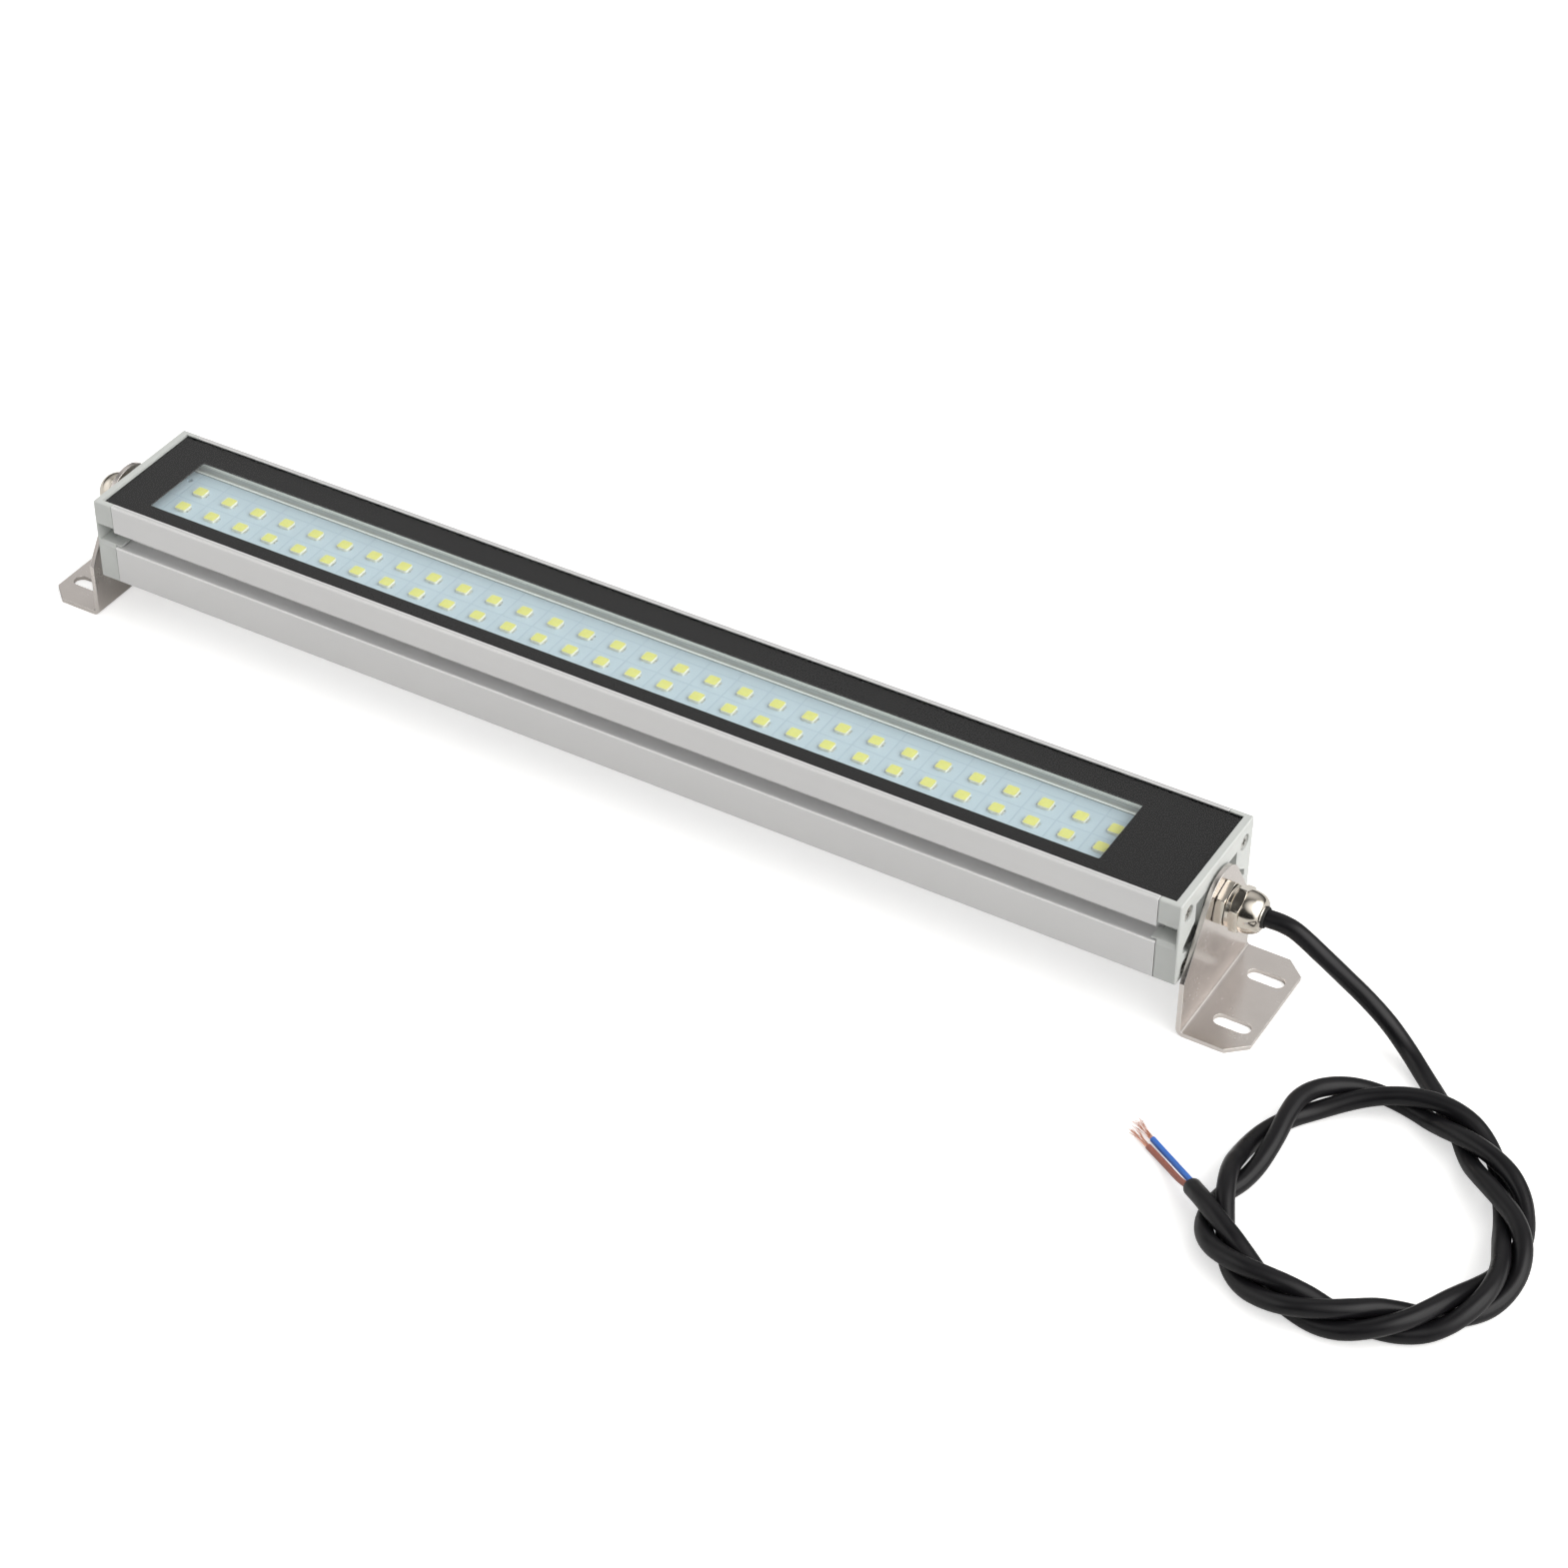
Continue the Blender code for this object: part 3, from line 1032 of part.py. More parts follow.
def heading(start, end):
    return (end - start).normalized()


def make_free_cord(looks):
    """The lead down to the floor, the coil, the tail and its bare cores."""
    coil = [Vector(point) for point in COIL_ROUTE]
    clear = least_self_gap(coil, CORD_DIAMETER)
    print("least gap of the coil to itself, mm:", round(clear * 1000, 3))
    print("coil gap is enough:", clear > LEAST_SELF_GAP)
    make_tube("cord_coil", coil, CORD_DIAMETER, looks["cord"], COIL_SIDES_RESOLUTION)

    mouth = AXIS_POINT + Vector((SLEEVE_END + GAP, 0, 0))
    inward = heading(coil[0], coil[1])
    lead_end = coil[0] - inward * GAP
    route = [mouth + Vector((CORD_DIAMETER, 0, 0))] + LEAD_ROUTE + [lead_end - inward * CORD_DIAMETER]
    lead = [mouth] + smooth_route(route, 2 * CORD_DIAMETER) + [lead_end]
    make_tube("cord_lead", lead, CORD_DIAMETER, looks["cord"], CORD_SIDES_RESOLUTION)

    onward = heading(coil[-2], coil[-1])
    tail_start = coil[-1] + onward * GAP
    tail = [tail_start] + smooth_route([tail_start + onward * CORD_DIAMETER] + TAIL_ROUTE,
                                       2 * CORD_DIAMETER)
    make_tube("cord_tail", tail, CORD_DIAMETER, looks["cord"], CORD_SIDES_RESOLUTION)

    out = heading(tail[-2], tail[-1])
    across = out.cross(Vector((0, 0, 1))).normalized()
    offset = across * (CORE_DIAMETER / 2 + GAP)
    for name, way, route in (("brown", -1, BROWN_ROUTE), ("blue", 1, BLUE_ROUTE)):
        start = tail[-1] + out * GAP + offset * way
        core = [start] + smooth_route([start + out * CORE_DIAMETER] + route, 2 * CORE_DIAMETER)
        make_tube("core_" + name, core, CORE_DIAMETER, looks[name], CORD_SIDES_RESOLUTION)
        forward = core[-1] - core[-2]
        forward.z = 0
        make_strands("copper_strands_" + name, core[-1], forward.normalized(), looks["copper"])


def make_looks():
    return {
        "aluminium": material("anodised_aluminium", (0.60, 0.61, 0.61), 0.42, 0.9),
        "glass": material("clear_glass", (0.92, 0.96, 0.95), 0.02, transmission=1.0),
        "border": material("black_print", (0.03, 0.03, 0.03), 0.25),
        "board": material("led_board_white", (0.72, 0.80, 0.85), 0.45),
        "cap": material("moulded_cap", (0.66, 0.68, 0.66), 0.45),
        "rubber": material("black_rubber", (0.02, 0.02, 0.02), 0.70),
        "screw": material("zinc_screw", (0.62, 0.62, 0.60), 0.30, 1.0),
        "steel": material("stainless_sheet", (0.56, 0.53, 0.50), 0.35, 1.0),
        "nickel": material("nickel_plating", (0.70, 0.66, 0.58), 0.18, 1.0),
        "cord": material("cord_jacket", (0.025, 0.025, 0.027), 0.50),
        "brown": material("brown_insulation", (0.16, 0.07, 0.04), 0.45),
        "blue": material("blue_insulation", (0.05, 0.20, 0.55), 0.45),
        "red": material("red_insulation", (0.60, 0.05, 0.04), 0.45),
        "black": material("black_insulation", (0.03, 0.03, 0.03), 0.45),
        "copper": material("bare_copper", (0.85, 0.50, 0.36), 0.30, 1.0),
        "tray": material("insulating_film", (0.80, 0.80, 0.76), 0.50),
        "driver": material("driver_laminate", (0.06, 0.28, 0.14), 0.50),
        "can": material("capacitor_sleeve", (0.05, 0.05, 0.07), 0.35),
        "choke": material("ferrite_and_copper", (0.18, 0.16, 0.15), 0.50),
        "terminal": material("terminal_plastic", (0.12, 0.35, 0.55), 0.45),
    }


def main():
    clear_scene()
    looks = make_looks()
    lamp = add_object("lamp_frame", None, location=AXIS_POINT)
    make_extrusion(looks["aluminium"], lamp)
    make_glass(looks["glass"], lamp)
    make_border(looks["border"], lamp)
    make_led_board(looks["board"], lamp)
    make_ends(looks, lamp)
    make_driver(looks, lamp)
    make_gland(looks, lamp)
    make_left_fitting(looks, lamp)

    bracket = make_bracket_mesh()
    right_axis = add_object("swivel_axis_right", None, location=AXIS_POINT + Vector((RIGHT_SHEET, 0, 0)))
    left_axis = add_object("swivel_axis_left", None, location=AXIS_POINT - Vector((LEFT_SHEET, 0, 0)))
    place("bracket_right", bracket, looks["steel"], right_axis)
    place("bracket_left", mirrored(bracket), looks["steel"], left_axis)
    make_free_cord(looks)


main()
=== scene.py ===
# %% [markdown]
# # A machine work light
# This lesson dresses a measured model of a machine work light: a long aluminium profile
# with a glazed LED board on top, two moulded end caps, two swivelling sheet feet, a cable
# gland and a cord that is thrown down in a coil. The solids come in ready measured. Here
# they get their finishes, and the pieces that need fine shapes are worked out as surfaces.

import json
import math

import bmesh
import bpy
import numpy as np
from mathutils import Matrix, Vector
from mathutils.geometry import tessellate_polygon

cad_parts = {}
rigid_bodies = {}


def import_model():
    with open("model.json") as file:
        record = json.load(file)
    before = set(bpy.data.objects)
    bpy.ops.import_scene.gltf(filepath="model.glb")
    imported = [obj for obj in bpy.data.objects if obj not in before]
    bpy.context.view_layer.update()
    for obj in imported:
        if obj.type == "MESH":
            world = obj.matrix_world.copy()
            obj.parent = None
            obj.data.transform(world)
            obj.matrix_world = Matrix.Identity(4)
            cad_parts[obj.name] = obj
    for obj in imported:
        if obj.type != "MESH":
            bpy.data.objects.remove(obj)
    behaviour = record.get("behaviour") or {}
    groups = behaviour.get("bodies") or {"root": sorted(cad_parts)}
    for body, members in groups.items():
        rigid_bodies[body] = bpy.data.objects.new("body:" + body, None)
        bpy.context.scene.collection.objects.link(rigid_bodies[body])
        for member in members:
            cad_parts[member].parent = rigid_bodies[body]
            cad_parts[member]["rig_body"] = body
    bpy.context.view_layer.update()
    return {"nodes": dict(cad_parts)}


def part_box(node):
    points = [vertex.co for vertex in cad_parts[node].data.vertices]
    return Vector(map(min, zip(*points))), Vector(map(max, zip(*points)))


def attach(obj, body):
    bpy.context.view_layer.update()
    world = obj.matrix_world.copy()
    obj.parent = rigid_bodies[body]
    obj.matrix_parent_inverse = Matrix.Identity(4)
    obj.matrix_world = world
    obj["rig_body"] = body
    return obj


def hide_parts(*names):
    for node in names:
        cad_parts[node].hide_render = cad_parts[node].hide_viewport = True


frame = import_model()
nodes = frame["nodes"]
print("solids loaded:", len(nodes))

# %% [markdown]
# ## The camera
# The photograph was taken from above the front left, with a long lens. A camera's matrix
# holds its right, up and back directions in its first three columns and its place in the
# fourth, so one matrix says the whole view and nothing has to be aimed by hand.

# %% Set up the camera
view = bpy.data.cameras.new("camera")
view.lens = 88.6746
view.sensor_width = 36.0


def stand(name, data):
    """A new object that holds the data, linked to the scene."""
    made = bpy.data.objects.new(name, data)
    bpy.context.scene.collection.objects.link(made)
    return made


camera = stand("camera", view)
camera.matrix_world = Matrix((
    (0.8599628, -0.3242123, 0.3941451, 0.6759314),
    (0.5103385, 0.5397769, -0.6694740, -1.0329674),
    (0.0043013, 0.7768702, 0.6296461, 0.9937782),
    (0.0, 0.0, 0.0, 1.0)))
bpy.context.scene.camera = camera
bpy.context.scene.view_settings.view_transform = "Standard"
print("camera stands", round(camera.location.length, 2), "m from the lamp's middle")

# %% [markdown]
# ## Shader building blocks
# A finish is a small tree of nodes. The helpers below add one node at a time and set its
# sockets, so that each finish further down reads as a short list. Patterns are read from
# Object coordinates: the pieces never leave the origin, so one metre there is one real
# metre and a grain keeps its true size.

# %% Helpers for the finishes
def connect(tree, node, sockets):
    """Each socket of the node takes a link from another socket, or a plain value."""
    for socket, value in sockets.items():
        if isinstance(value, bpy.types.NodeSocket):
            tree.links.new(value, node.inputs[socket])
        else:
            node.inputs[socket].default_value = value


def add(tree, kind, sockets=None, **fields):
    """Add one shader node, set its fields and connect its named or numbered sockets."""
    node = tree.nodes.new("ShaderNode" + kind)
    for field, value in fields.items():
        setattr(node, field, value)
    connect(tree, node, sockets or {})
    return node


def feed(tree, sockets):
    """Connect sockets of the finish's main shader."""
    connect(tree, tree.nodes["Principled BSDF"], sockets)


def start_finish(name, colour, roughness, metallic=0.0):
    """A new material with its main shader's plain values set."""
    made = bpy.data.materials.new(name)
    made.use_nodes = True
    feed(made.node_tree, {"Base Color": (*colour, 1.0), "Roughness": roughness, "Metallic": metallic})
    return made, made.node_tree


def noise(tree, stretch, detail):
    """Cloudy values from 0 to 1: a stretch of 100 makes clouds about a centimetre wide.

    The stretch is one number, or three where the clouds are drawn out along an axis.
    """
    scale = stretch if isinstance(stretch, tuple) else (stretch, stretch, stretch)
    spot = add(tree, "TexCoord").outputs["Object"]
    stretched = add(tree, "Mapping", {"Vector": spot, "Scale": scale}).outputs["Vector"]
    return add(tree, "TexNoise", {"Vector": stretched, "Scale": 1.0, "Detail": detail}).outputs["Fac"]


def reckon(tree, operation, *values):
    """The result of one Math node, whose values may be numbers or sockets."""
    return add(tree, "Math", dict(enumerate(values)), operation=operation).outputs[0]


def spread(tree, value, low, high, start=0.3, end=0.7):
    """Carry values between start and end onto the range from low to high."""
    ranges = {"From Min": start, "From Max": end, "To Min": low, "To Max": high}
    return add(tree, "MapRange", {"Value": value, **ranges}).outputs["Result"]


def tint(tree, share, first, second, blend="MIX"):
    """Blend two colours by a share from 0 to 1. Each may be a colour or a socket."""
    pair = [one if isinstance(one, bpy.types.NodeSocket) else (*one, 1.0) for one in (first, second)]
    node = add(tree, "Mix", {0: share, 6: pair[0], 7: pair[1]}, data_type="RGBA", blend_type=blend)
    return node.outputs[2]


def paint(tree, share, first, second):
    """Let a pattern carry the base colour from the first to the second."""
    feed(tree, {"Base Color": tint(tree, share, first, second)})


def gloss(tree, share, low, high, start=0.3, end=0.7):
    """Let a pattern carry the roughness from low to high."""
    feed(tree, {"Roughness": spread(tree, share, low, high, start, end)})


def relief(tree, height, depth, strength=1.0):
    """Let a pattern of heights raise the surface by the depth, given in metres."""
    node = add(tree, "Bump", {"Height": height, "Distance": depth, "Strength": strength})
    feed(tree, {"Normal": node.outputs["Normal"]})


# The share marks the edges where the finishes paint a highlight.
def edge_highlight_share(tree, radius, upward=False):
    """Values near 1 at sharp corners: there a rounded normal leaves the true one.

    With upward set, only the corners whose rounded normal looks up count.
    """
    rounded = add(tree, "Bevel", {"Radius": radius}, samples=4)
    true = add(tree, "NewGeometry").outputs["True Normal"]
    turned = add(tree, "VectorMath", {0: rounded.outputs["Normal"], 1: true}, operation="DOT_PRODUCT")
    share = spread(tree, turned.outputs["Value"], 1.0, 0.0, 0.80, 0.99)
    if not upward:
        return share
    tilt = add(tree, "SeparateXYZ", {"Vector": rounded.outputs["Normal"]}).outputs["Z"]
    raised = spread(tree, tilt, 0.0, 1.0, 0.05, 0.35)
    return reckon(tree, "MULTIPLY", share, raised)


print("shader helpers are ready")

# %% [markdown]
# ## Studio
# A pale floor and a world of soft light stand in for a white product table. The world is
# bright behind the lamp and has one strong soft box to the right, but it is dark on the
# camera's side and low down, which is what gives polished metal its dark and light bands.
# The camera itself finds plain white.

# %% Build the world and the floor
world = bpy.data.worlds.new("studio")
bpy.context.scene.world = world
world.use_nodes = True
sky = world.node_tree
sky.nodes.clear()
toward = add(sky, "TexCoord").outputs["Generated"]
height = add(sky, "SeparateXYZ", {"Vector": toward}).outputs["Z"]


def leaning(direction, low, high, start, end):
    """Light that grows from low to high as a ray turns towards the direction."""
    turned = add(sky, "VectorMath", {0: toward, 1: direction}, operation="DOT_PRODUCT").outputs["Value"]
    return spread(sky, turned, low, high, start, end)


key = leaning((0.87, 0.02, 0.49), 0.0, 2.8, 0.65, 0.95)
fill = leaning((-0.83, -0.42, 0.37), 0.0, 1.05, 0.78, 0.96)
above = leaning((0.42, -0.30, 0.86), 0.0, 1.4, 0.78, 0.97)
behind = leaning((-0.39, 0.67, 0.63), 0.0, 0.20, 0.80, 0.97)
room = spread(sky, height, 0.06, 0.50, 0.15, 0.60)
camera_side = leaning((0.10, -0.60, 0.79), 1.0, 0.10, 0.35, 0.80)
back = reckon(sky, "MULTIPLY", room, camera_side)
total = key
for light in (fill, above, behind, back):
    total = reckon(sky, "ADD", total, light)
soft_light = add(sky, "Background", {"Color": (1.0, 0.99, 0.975, 1.0), "Strength": total})
white = add(sky, "Background", {"Color": (1.0, 1.0, 1.0, 1.0), "Strength": 1.0})
seen = add(sky, "LightPath").outputs["Is Camera Ray"]
either = add(sky, "MixShader", {0: seen, 1: soft_light.outputs[0], 2: white.outputs[0]})
add(sky, "OutputWorld", {"Surface": either.outputs[0]})

FLOOR_REACH, FLOOR_GLOW = 4, 0.54
floor_look, tree = start_finish("table_paint", (0.72, 0.72, 0.715), 0.75)
paint(tree, noise(tree, 90, 5.0), (0.71, 0.71, 0.705), (0.73, 0.73, 0.725))
seen = add(tree, "LightPath").outputs["Is Camera Ray"]
glow = reckon(tree, "MULTIPLY", seen, FLOOR_GLOW)
feed(tree, {"Emission Color": (1.0, 1.0, 1.0, 1.0), "Emission Strength": glow})
floor_mesh = bpy.data.meshes.new("floor")
corners = [(x * FLOOR_REACH, y * FLOOR_REACH, 0) for x, y in ((-1, -1), (1, -1), (1, 1), (-1, 1))]
floor_mesh.from_pydata(corners, [], [(0, 1, 2, 3)])
floor_mesh.materials.append(floor_look)
floor = stand("floor", floor_mesh)


def soft_lamp(name, place, aim, size, power, colour=(1.0, 1.0, 1.0)):
    """A square soft box at one place, turned towards another."""
    data = bpy.data.lights.new(name, "AREA")
    data.size = size
    data.energy = power
    data.color = colour
    lamp = stand(name, data)
    lamp.location = place
    lamp.rotation_euler = (Vector(aim) - Vector(place)).to_track_quat("-Z", "Y").to_euler()


soft_lamp("key_box", (1.3, 0.5, 1.6), (0.1, 0, 0), 0.9, 3.0, (1.0, 0.985, 0.96))
soft_lamp("front_box", (-0.9, -1.4, 1.3), (0, 0, 0), 1.1, 2.2)
print("world and floor are ready")

# %% [markdown]
# ## Surfaces from two parameters
# Every round or swept piece here is a grid: one parameter runs along it and the other
# round it. The same few lines join neighbouring grid points into faces, whatever the
# formula for the points is. Working with whole arrays keeps the code short and quick.

# %% Helpers for the shapes
def grid_faces(rows, columns, round_rows=False):
    """Quads between neighbouring points of a grid whose columns close on themselves."""
    last = rows if round_rows else rows - 1
    row = np.arange(last)[:, None]
    column = np.arange(columns)[None, :]
    after = (column + 1) % columns
    below = (row + 1) % rows
    near = (row * columns + column, row * columns + after)
    far = (below * columns + after, below * columns + column)
    return np.stack(np.broadcast_arrays(*near, *far), -1).reshape(-1, 4)


def dressed(name, mesh, look, smooth_below, body="lamp"):
    """A piece from a mesh: smooth below an angle in degrees, with its finish and body."""
    mesh.materials.clear()
    mesh.materials.append(look)
    mesh.shade_smooth()
    mesh.set_sharp_from_angle(angle=math.radians(smooth_below))
    piece = stand(name, mesh)
    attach(piece, body)
    return piece


def put_piece(name, points, faces, look, slot, smooth_below=35):
    """A piece from an array of points and a list of faces."""
    mesh = bpy.data.meshes.new(name)
    mesh.from_pydata(np.asarray(points).reshape(-1, 3), [], faces)
    mesh.validate()
    return dressed(name, mesh, look, smooth_below)


def closed_grid(grid):
    """Faces of a tube of rings, with a flat face over its first and its last ring."""
    rows, columns = grid.shape[:2]
    faces = grid_faces(rows, columns).tolist()
    first = list(range(columns))[::-1]
    last = list(range((rows - 1) * columns, rows * columns))
    return faces + [first, last]


def smooth_path(knots, steps):
    """Points on the curve that passes through every knot with an even bend.

    Between two knots it is the cubic whose slope at each knot is half the way from the
    knot before to the knot after (the Catmull and Rom rule).
    """
    knots = np.asarray(knots, float)
    padded = np.vstack([2 * knots[0] - knots[1], knots, 2 * knots[-1] - knots[-2]])
    before, start, end, after = (padded[i:len(padded) - 3 + i, None] for i in range(4))
    t = (np.arange(steps) / steps)[None, :, None]
    cubic = 0.5 * (2 * start + (end - before) * t + (2 * before - 5 * start + 4 * end - after) * t ** 2
                   + (3 * start - before - 3 * end + after) * t ** 3)
    return np.vstack([cubic.reshape(-1, 3), knots[-1]])


def unit(vector):
    """The vector's direction, one unit long."""
    return vector / np.linalg.norm(vector)


def rings_along(path, radii, count):
    """Rings of points round a path: point = path + radius * (cos a * side + sin a * up).

    The side direction is carried from point to point with the least turning, so the
    tube doesn't twist.
    """
    ahead = np.gradient(path, axis=0)
    ahead /= np.linalg.norm(ahead, axis=1, keepdims=True)
    side = np.cross(ahead[0], (0.0, 0.0, 1.0))
    sides = []
    for direction in ahead:
        side = side - direction * side.dot(direction)
        side = unit(side)
        sides.append(side)
    sides = np.array(sides)
    ups = np.cross(ahead, sides)
    angle = np.linspace(0, math.tau, count, endpoint=False)[None, :, None]
    radii = np.broadcast_to(np.asarray(radii, float), (len(path),))[:, None, None]
    return path[:, None] + radii * (np.cos(angle) * sides[:, None] + np.sin(angle) * ups[:, None])


def length_of(path):
    """The sum of the distances from each point to the next."""
    return float(np.linalg.norm(np.diff(path, axis=0), axis=1).sum())


print("shape helpers are ready")

# %% [markdown]
# ## Black cable jacket
# A PVC jacket is satin rather than matt, because it was drawn hot through a die. The cores
# laid up inside press very slightly through it as a long helix, and handling leaves small
# dull patches. The pattern is read from the tube's own map: across it is one turn round
# the cord, along it is one unit for each centimetre, so the helix follows every bend.

# %% Finish of the jacket
CORD_DIAMETER = 0.0071


def jacket_finish():
    """Satin black: two low waves a turn along the helix, fine dust and wide dull patches."""
    made, tree = start_finish("satin_black_jacket", (0.012, 0.012, 0.013), 0.38)
    parts = add(tree, "SeparateXYZ", {"Vector": add(tree, "TexCoord").outputs["UV"]})
    turned = reckon(tree, "MULTIPLY_ADD", parts.outputs["Y"], 0.22, parts.outputs["X"])
    cores = reckon(tree, "SINE", reckon(tree, "MULTIPLY", turned, math.tau * 2))
    patches = noise(tree, 70, 2.0)
    paint(tree, patches, (0.005, 0.005, 0.0058), (0.010, 0.0095, 0.011))
    gloss(tree, patches, 0.27, 0.38)
    fine = reckon(tree, "MULTIPLY", noise(tree, 420, 4.0), 0.10)
    relief(tree, reckon(tree, "MULTIPLY_ADD", cores, 0.5, fine), 0.00012)
    feed(tree, {"Specular IOR Level": 0.24})
    return made


jacket_look = jacket_finish()
print("finish:", jacket_look.name)

# %% [markdown]
# ## The cord
# The cord leaves the gland level, sags to the floor and lies there in two and a half turns
# that were twisted round one another, over and under, like a loosely laid rope. Its bare
# end comes to rest on top of the turns. The route is a list of points that the cord passes
# through, in metres; a smooth curve through them is the cord's centre line.

# %% The cord's route
CORD_EXIT = (0.2783, 0.0, 0.0454)
LEAD_ROUTE = [
    (0.2848, 0.0000, 0.0454), (0.2910, 0.0000, 0.0437), (0.3009, 0.0008, 0.0368), (0.3101, 0.0028, 0.0286),
    (0.3196, 0.0045, 0.0203), (0.3293, 0.0042, 0.0128), (0.3392, 0.0007, 0.0067), (0.3490, -0.0062, 0.0038),
    (0.3583, -0.0145, 0.0036)]
COIL_ROUTE = [
    (0.3673, -0.0231, 0.0036), (0.3731, -0.0294, 0.0036), (0.3782, -0.0363, 0.0039),
    (0.3831, -0.0430, 0.0058), (0.3886, -0.0490, 0.0084), (0.3948, -0.0545, 0.0103),
    (0.4014, -0.0599, 0.0116), (0.4079, -0.0654, 0.0122), (0.4135, -0.0718, 0.0118),
    (0.4175, -0.0792, 0.0101), (0.4192, -0.0871, 0.0074), (0.4184, -0.0952, 0.0049),
    (0.4157, -0.1032, 0.0036), (0.4109, -0.1102, 0.0036), (0.4043, -0.1157, 0.0036),
    (0.3969, -0.1199, 0.0047), (0.3900, -0.1242, 0.0073), (0.3838, -0.1294, 0.0102),
    (0.3776, -0.1350, 0.0117), (0.3705, -0.1398, 0.0118), (0.3626, -0.1430, 0.0110),
    (0.3544, -0.1442, 0.0094), (0.3462, -0.1430, 0.0072), (0.3385, -0.1399, 0.0051),
    (0.3318, -0.1348, 0.0038), (0.3263, -0.1282, 0.0036), (0.3221, -0.1209, 0.0045),
    (0.3183, -0.1137, 0.0072), (0.3147, -0.1065, 0.0100), (0.3118, -0.0985, 0.0110),
    (0.3098, -0.0903, 0.0095), (0.3089, -0.0823, 0.0068), (0.3089, -0.0739, 0.0048),
    (0.3101, -0.0655, 0.0038), (0.3130, -0.0575, 0.0036), (0.3173, -0.0501, 0.0036),
    (0.3229, -0.0436, 0.0042), (0.3291, -0.0380, 0.0059), (0.3359, -0.0332, 0.0080),
    (0.3433, -0.0295, 0.0099), (0.3513, -0.0268, 0.0112), (0.3597, -0.0253, 0.0119),
    (0.3683, -0.0251, 0.0114), (0.3765, -0.0265, 0.0096), (0.3837, -0.0300, 0.0068),
    (0.3898, -0.0356, 0.0045), (0.3944, -0.0427, 0.0036), (0.3983, -0.0504, 0.0036),
    (0.4019, -0.0581, 0.0037), (0.4049, -0.0660, 0.0049), (0.4074, -0.0738, 0.0075),
    (0.4101, -0.0814, 0.0103), (0.4129, -0.0894, 0.0116), (0.4143, -0.0978, 0.0120),
    (0.4140, -0.1063, 0.0117), (0.4118, -0.1144, 0.0102), (0.4076, -0.1214, 0.0075),
    (0.4016, -0.1268, 0.0049), (0.3940, -0.1306, 0.0037), (0.3858, -0.1329, 0.0036),
    (0.3773, -0.1339, 0.0040), (0.3690, -0.1344, 0.0058), (0.3609, -0.1349, 0.0086),
    (0.3527, -0.1360, 0.0109), (0.3443, -0.1368, 0.0120), (0.3358, -0.1366, 0.0120),
    (0.3276, -0.1343, 0.0106), (0.3206, -0.1301, 0.0084), (0.3152, -0.1239, 0.0061),
    (0.3118, -0.1163, 0.0043), (0.3106, -0.1079, 0.0036), (0.3118, -0.0994, 0.0036),
    (0.3146, -0.0913, 0.0037), (0.3164, -0.0831, 0.0050), (0.3170, -0.0748, 0.0070),
    (0.3170, -0.0665, 0.0090), (0.3164, -0.0581, 0.0106), (0.3165, -0.0495, 0.0111),
    (0.3185, -0.0413, 0.0100), (0.3228, -0.0341, 0.0085), (0.3290, -0.0285, 0.0069),
    (0.3367, -0.0251, 0.0053), (0.3451, -0.0242, 0.0041), (0.3535, -0.0255, 0.0039),
    (0.3612, -0.0288, 0.0052), (0.3682, -0.0328, 0.0082), (0.3755, -0.0362, 0.0110),
    (0.3835, -0.0388, 0.0121), (0.3916, -0.0417, 0.0118), (0.3992, -0.0453, 0.0104),
    (0.4055, -0.0504, 0.0076), (0.4100, -0.0571, 0.0050), (0.4130, -0.0650, 0.0037),
    (0.4139, -0.0735, 0.0036), (0.4132, -0.0820, 0.0036), (0.4112, -0.0903, 0.0041),
    (0.4086, -0.0983, 0.0059), (0.4061, -0.1061, 0.0085), (0.4035, -0.1139, 0.0108),
    (0.4004, -0.1218, 0.0119), (0.3961, -0.1291, 0.0116), (0.3902, -0.1353, 0.0104),
    (0.3832, -0.1395, 0.0081), (0.3754, -0.1416, 0.0054), (0.3670, -0.1417, 0.0038),
    (0.3586, -0.1402, 0.0036), (0.3506, -0.1373, 0.0037), (0.3430, -0.1335, 0.0051),
    (0.3358, -0.1296, 0.0077)]
TAIL_ROUTE = [(0.3269, -0.1252, 0.0109), (0.3178, -0.1202, 0.0123), (0.3095, -0.1139, 0.0113),
              (0.3021, -0.1072, 0.0081)]

cord_path = smooth_path([CORD_EXIT] + LEAD_ROUTE + COIL_ROUTE + TAIL_ROUTE, 4)
cord_length = length_of(cord_path)
print("cord length in metres:", round(cord_length, 3), "with", len(cord_path), "points")

# %% [markdown]
# The jacket is a tube of rings on that line. At the bare end the tube turns in over a
# small rounded lip and runs back inside by a millimetre, because a cut jacket shows its
# wall and the cores come out of a hole. The tube's map is stored beside its corners.

# %% The jacket as a tube of rings
AROUND = 28


def cord_rings(path):
    """Rings along the path, then a lip: the radius falls on a quarter circle and goes in."""
    ahead = unit(path[-1] - path[-2])
    radius = CORD_DIAMETER / 2
    round_off = 0.0003
    turn = np.linspace(0, math.pi / 2, 4)[1:]
    reach = round_off * np.sin(turn)
    lip = radius - round_off + round_off * np.cos(turn)
    inner = np.array([0.0026, 0.0025, 0.0024])
    deep = np.array([round_off, round_off - 0.0002, -0.0010])
    extra = path[-1] + ahead * np.concatenate([reach, deep])[:, None]
    tube = rings_along(path, radius, AROUND)
    outward = (tube[-1] - path[-1]) / radius
    ends = extra[:, None] + np.concatenate([lip, inner])[:, None, None] * outward[None]
    return np.concatenate([tube, ends])


cord_grid = cord_rings(cord_path)
cord = put_piece("cord_jacket_tube", cord_grid, closed_grid(cord_grid), jacket_look, "cord_jacket", 60)


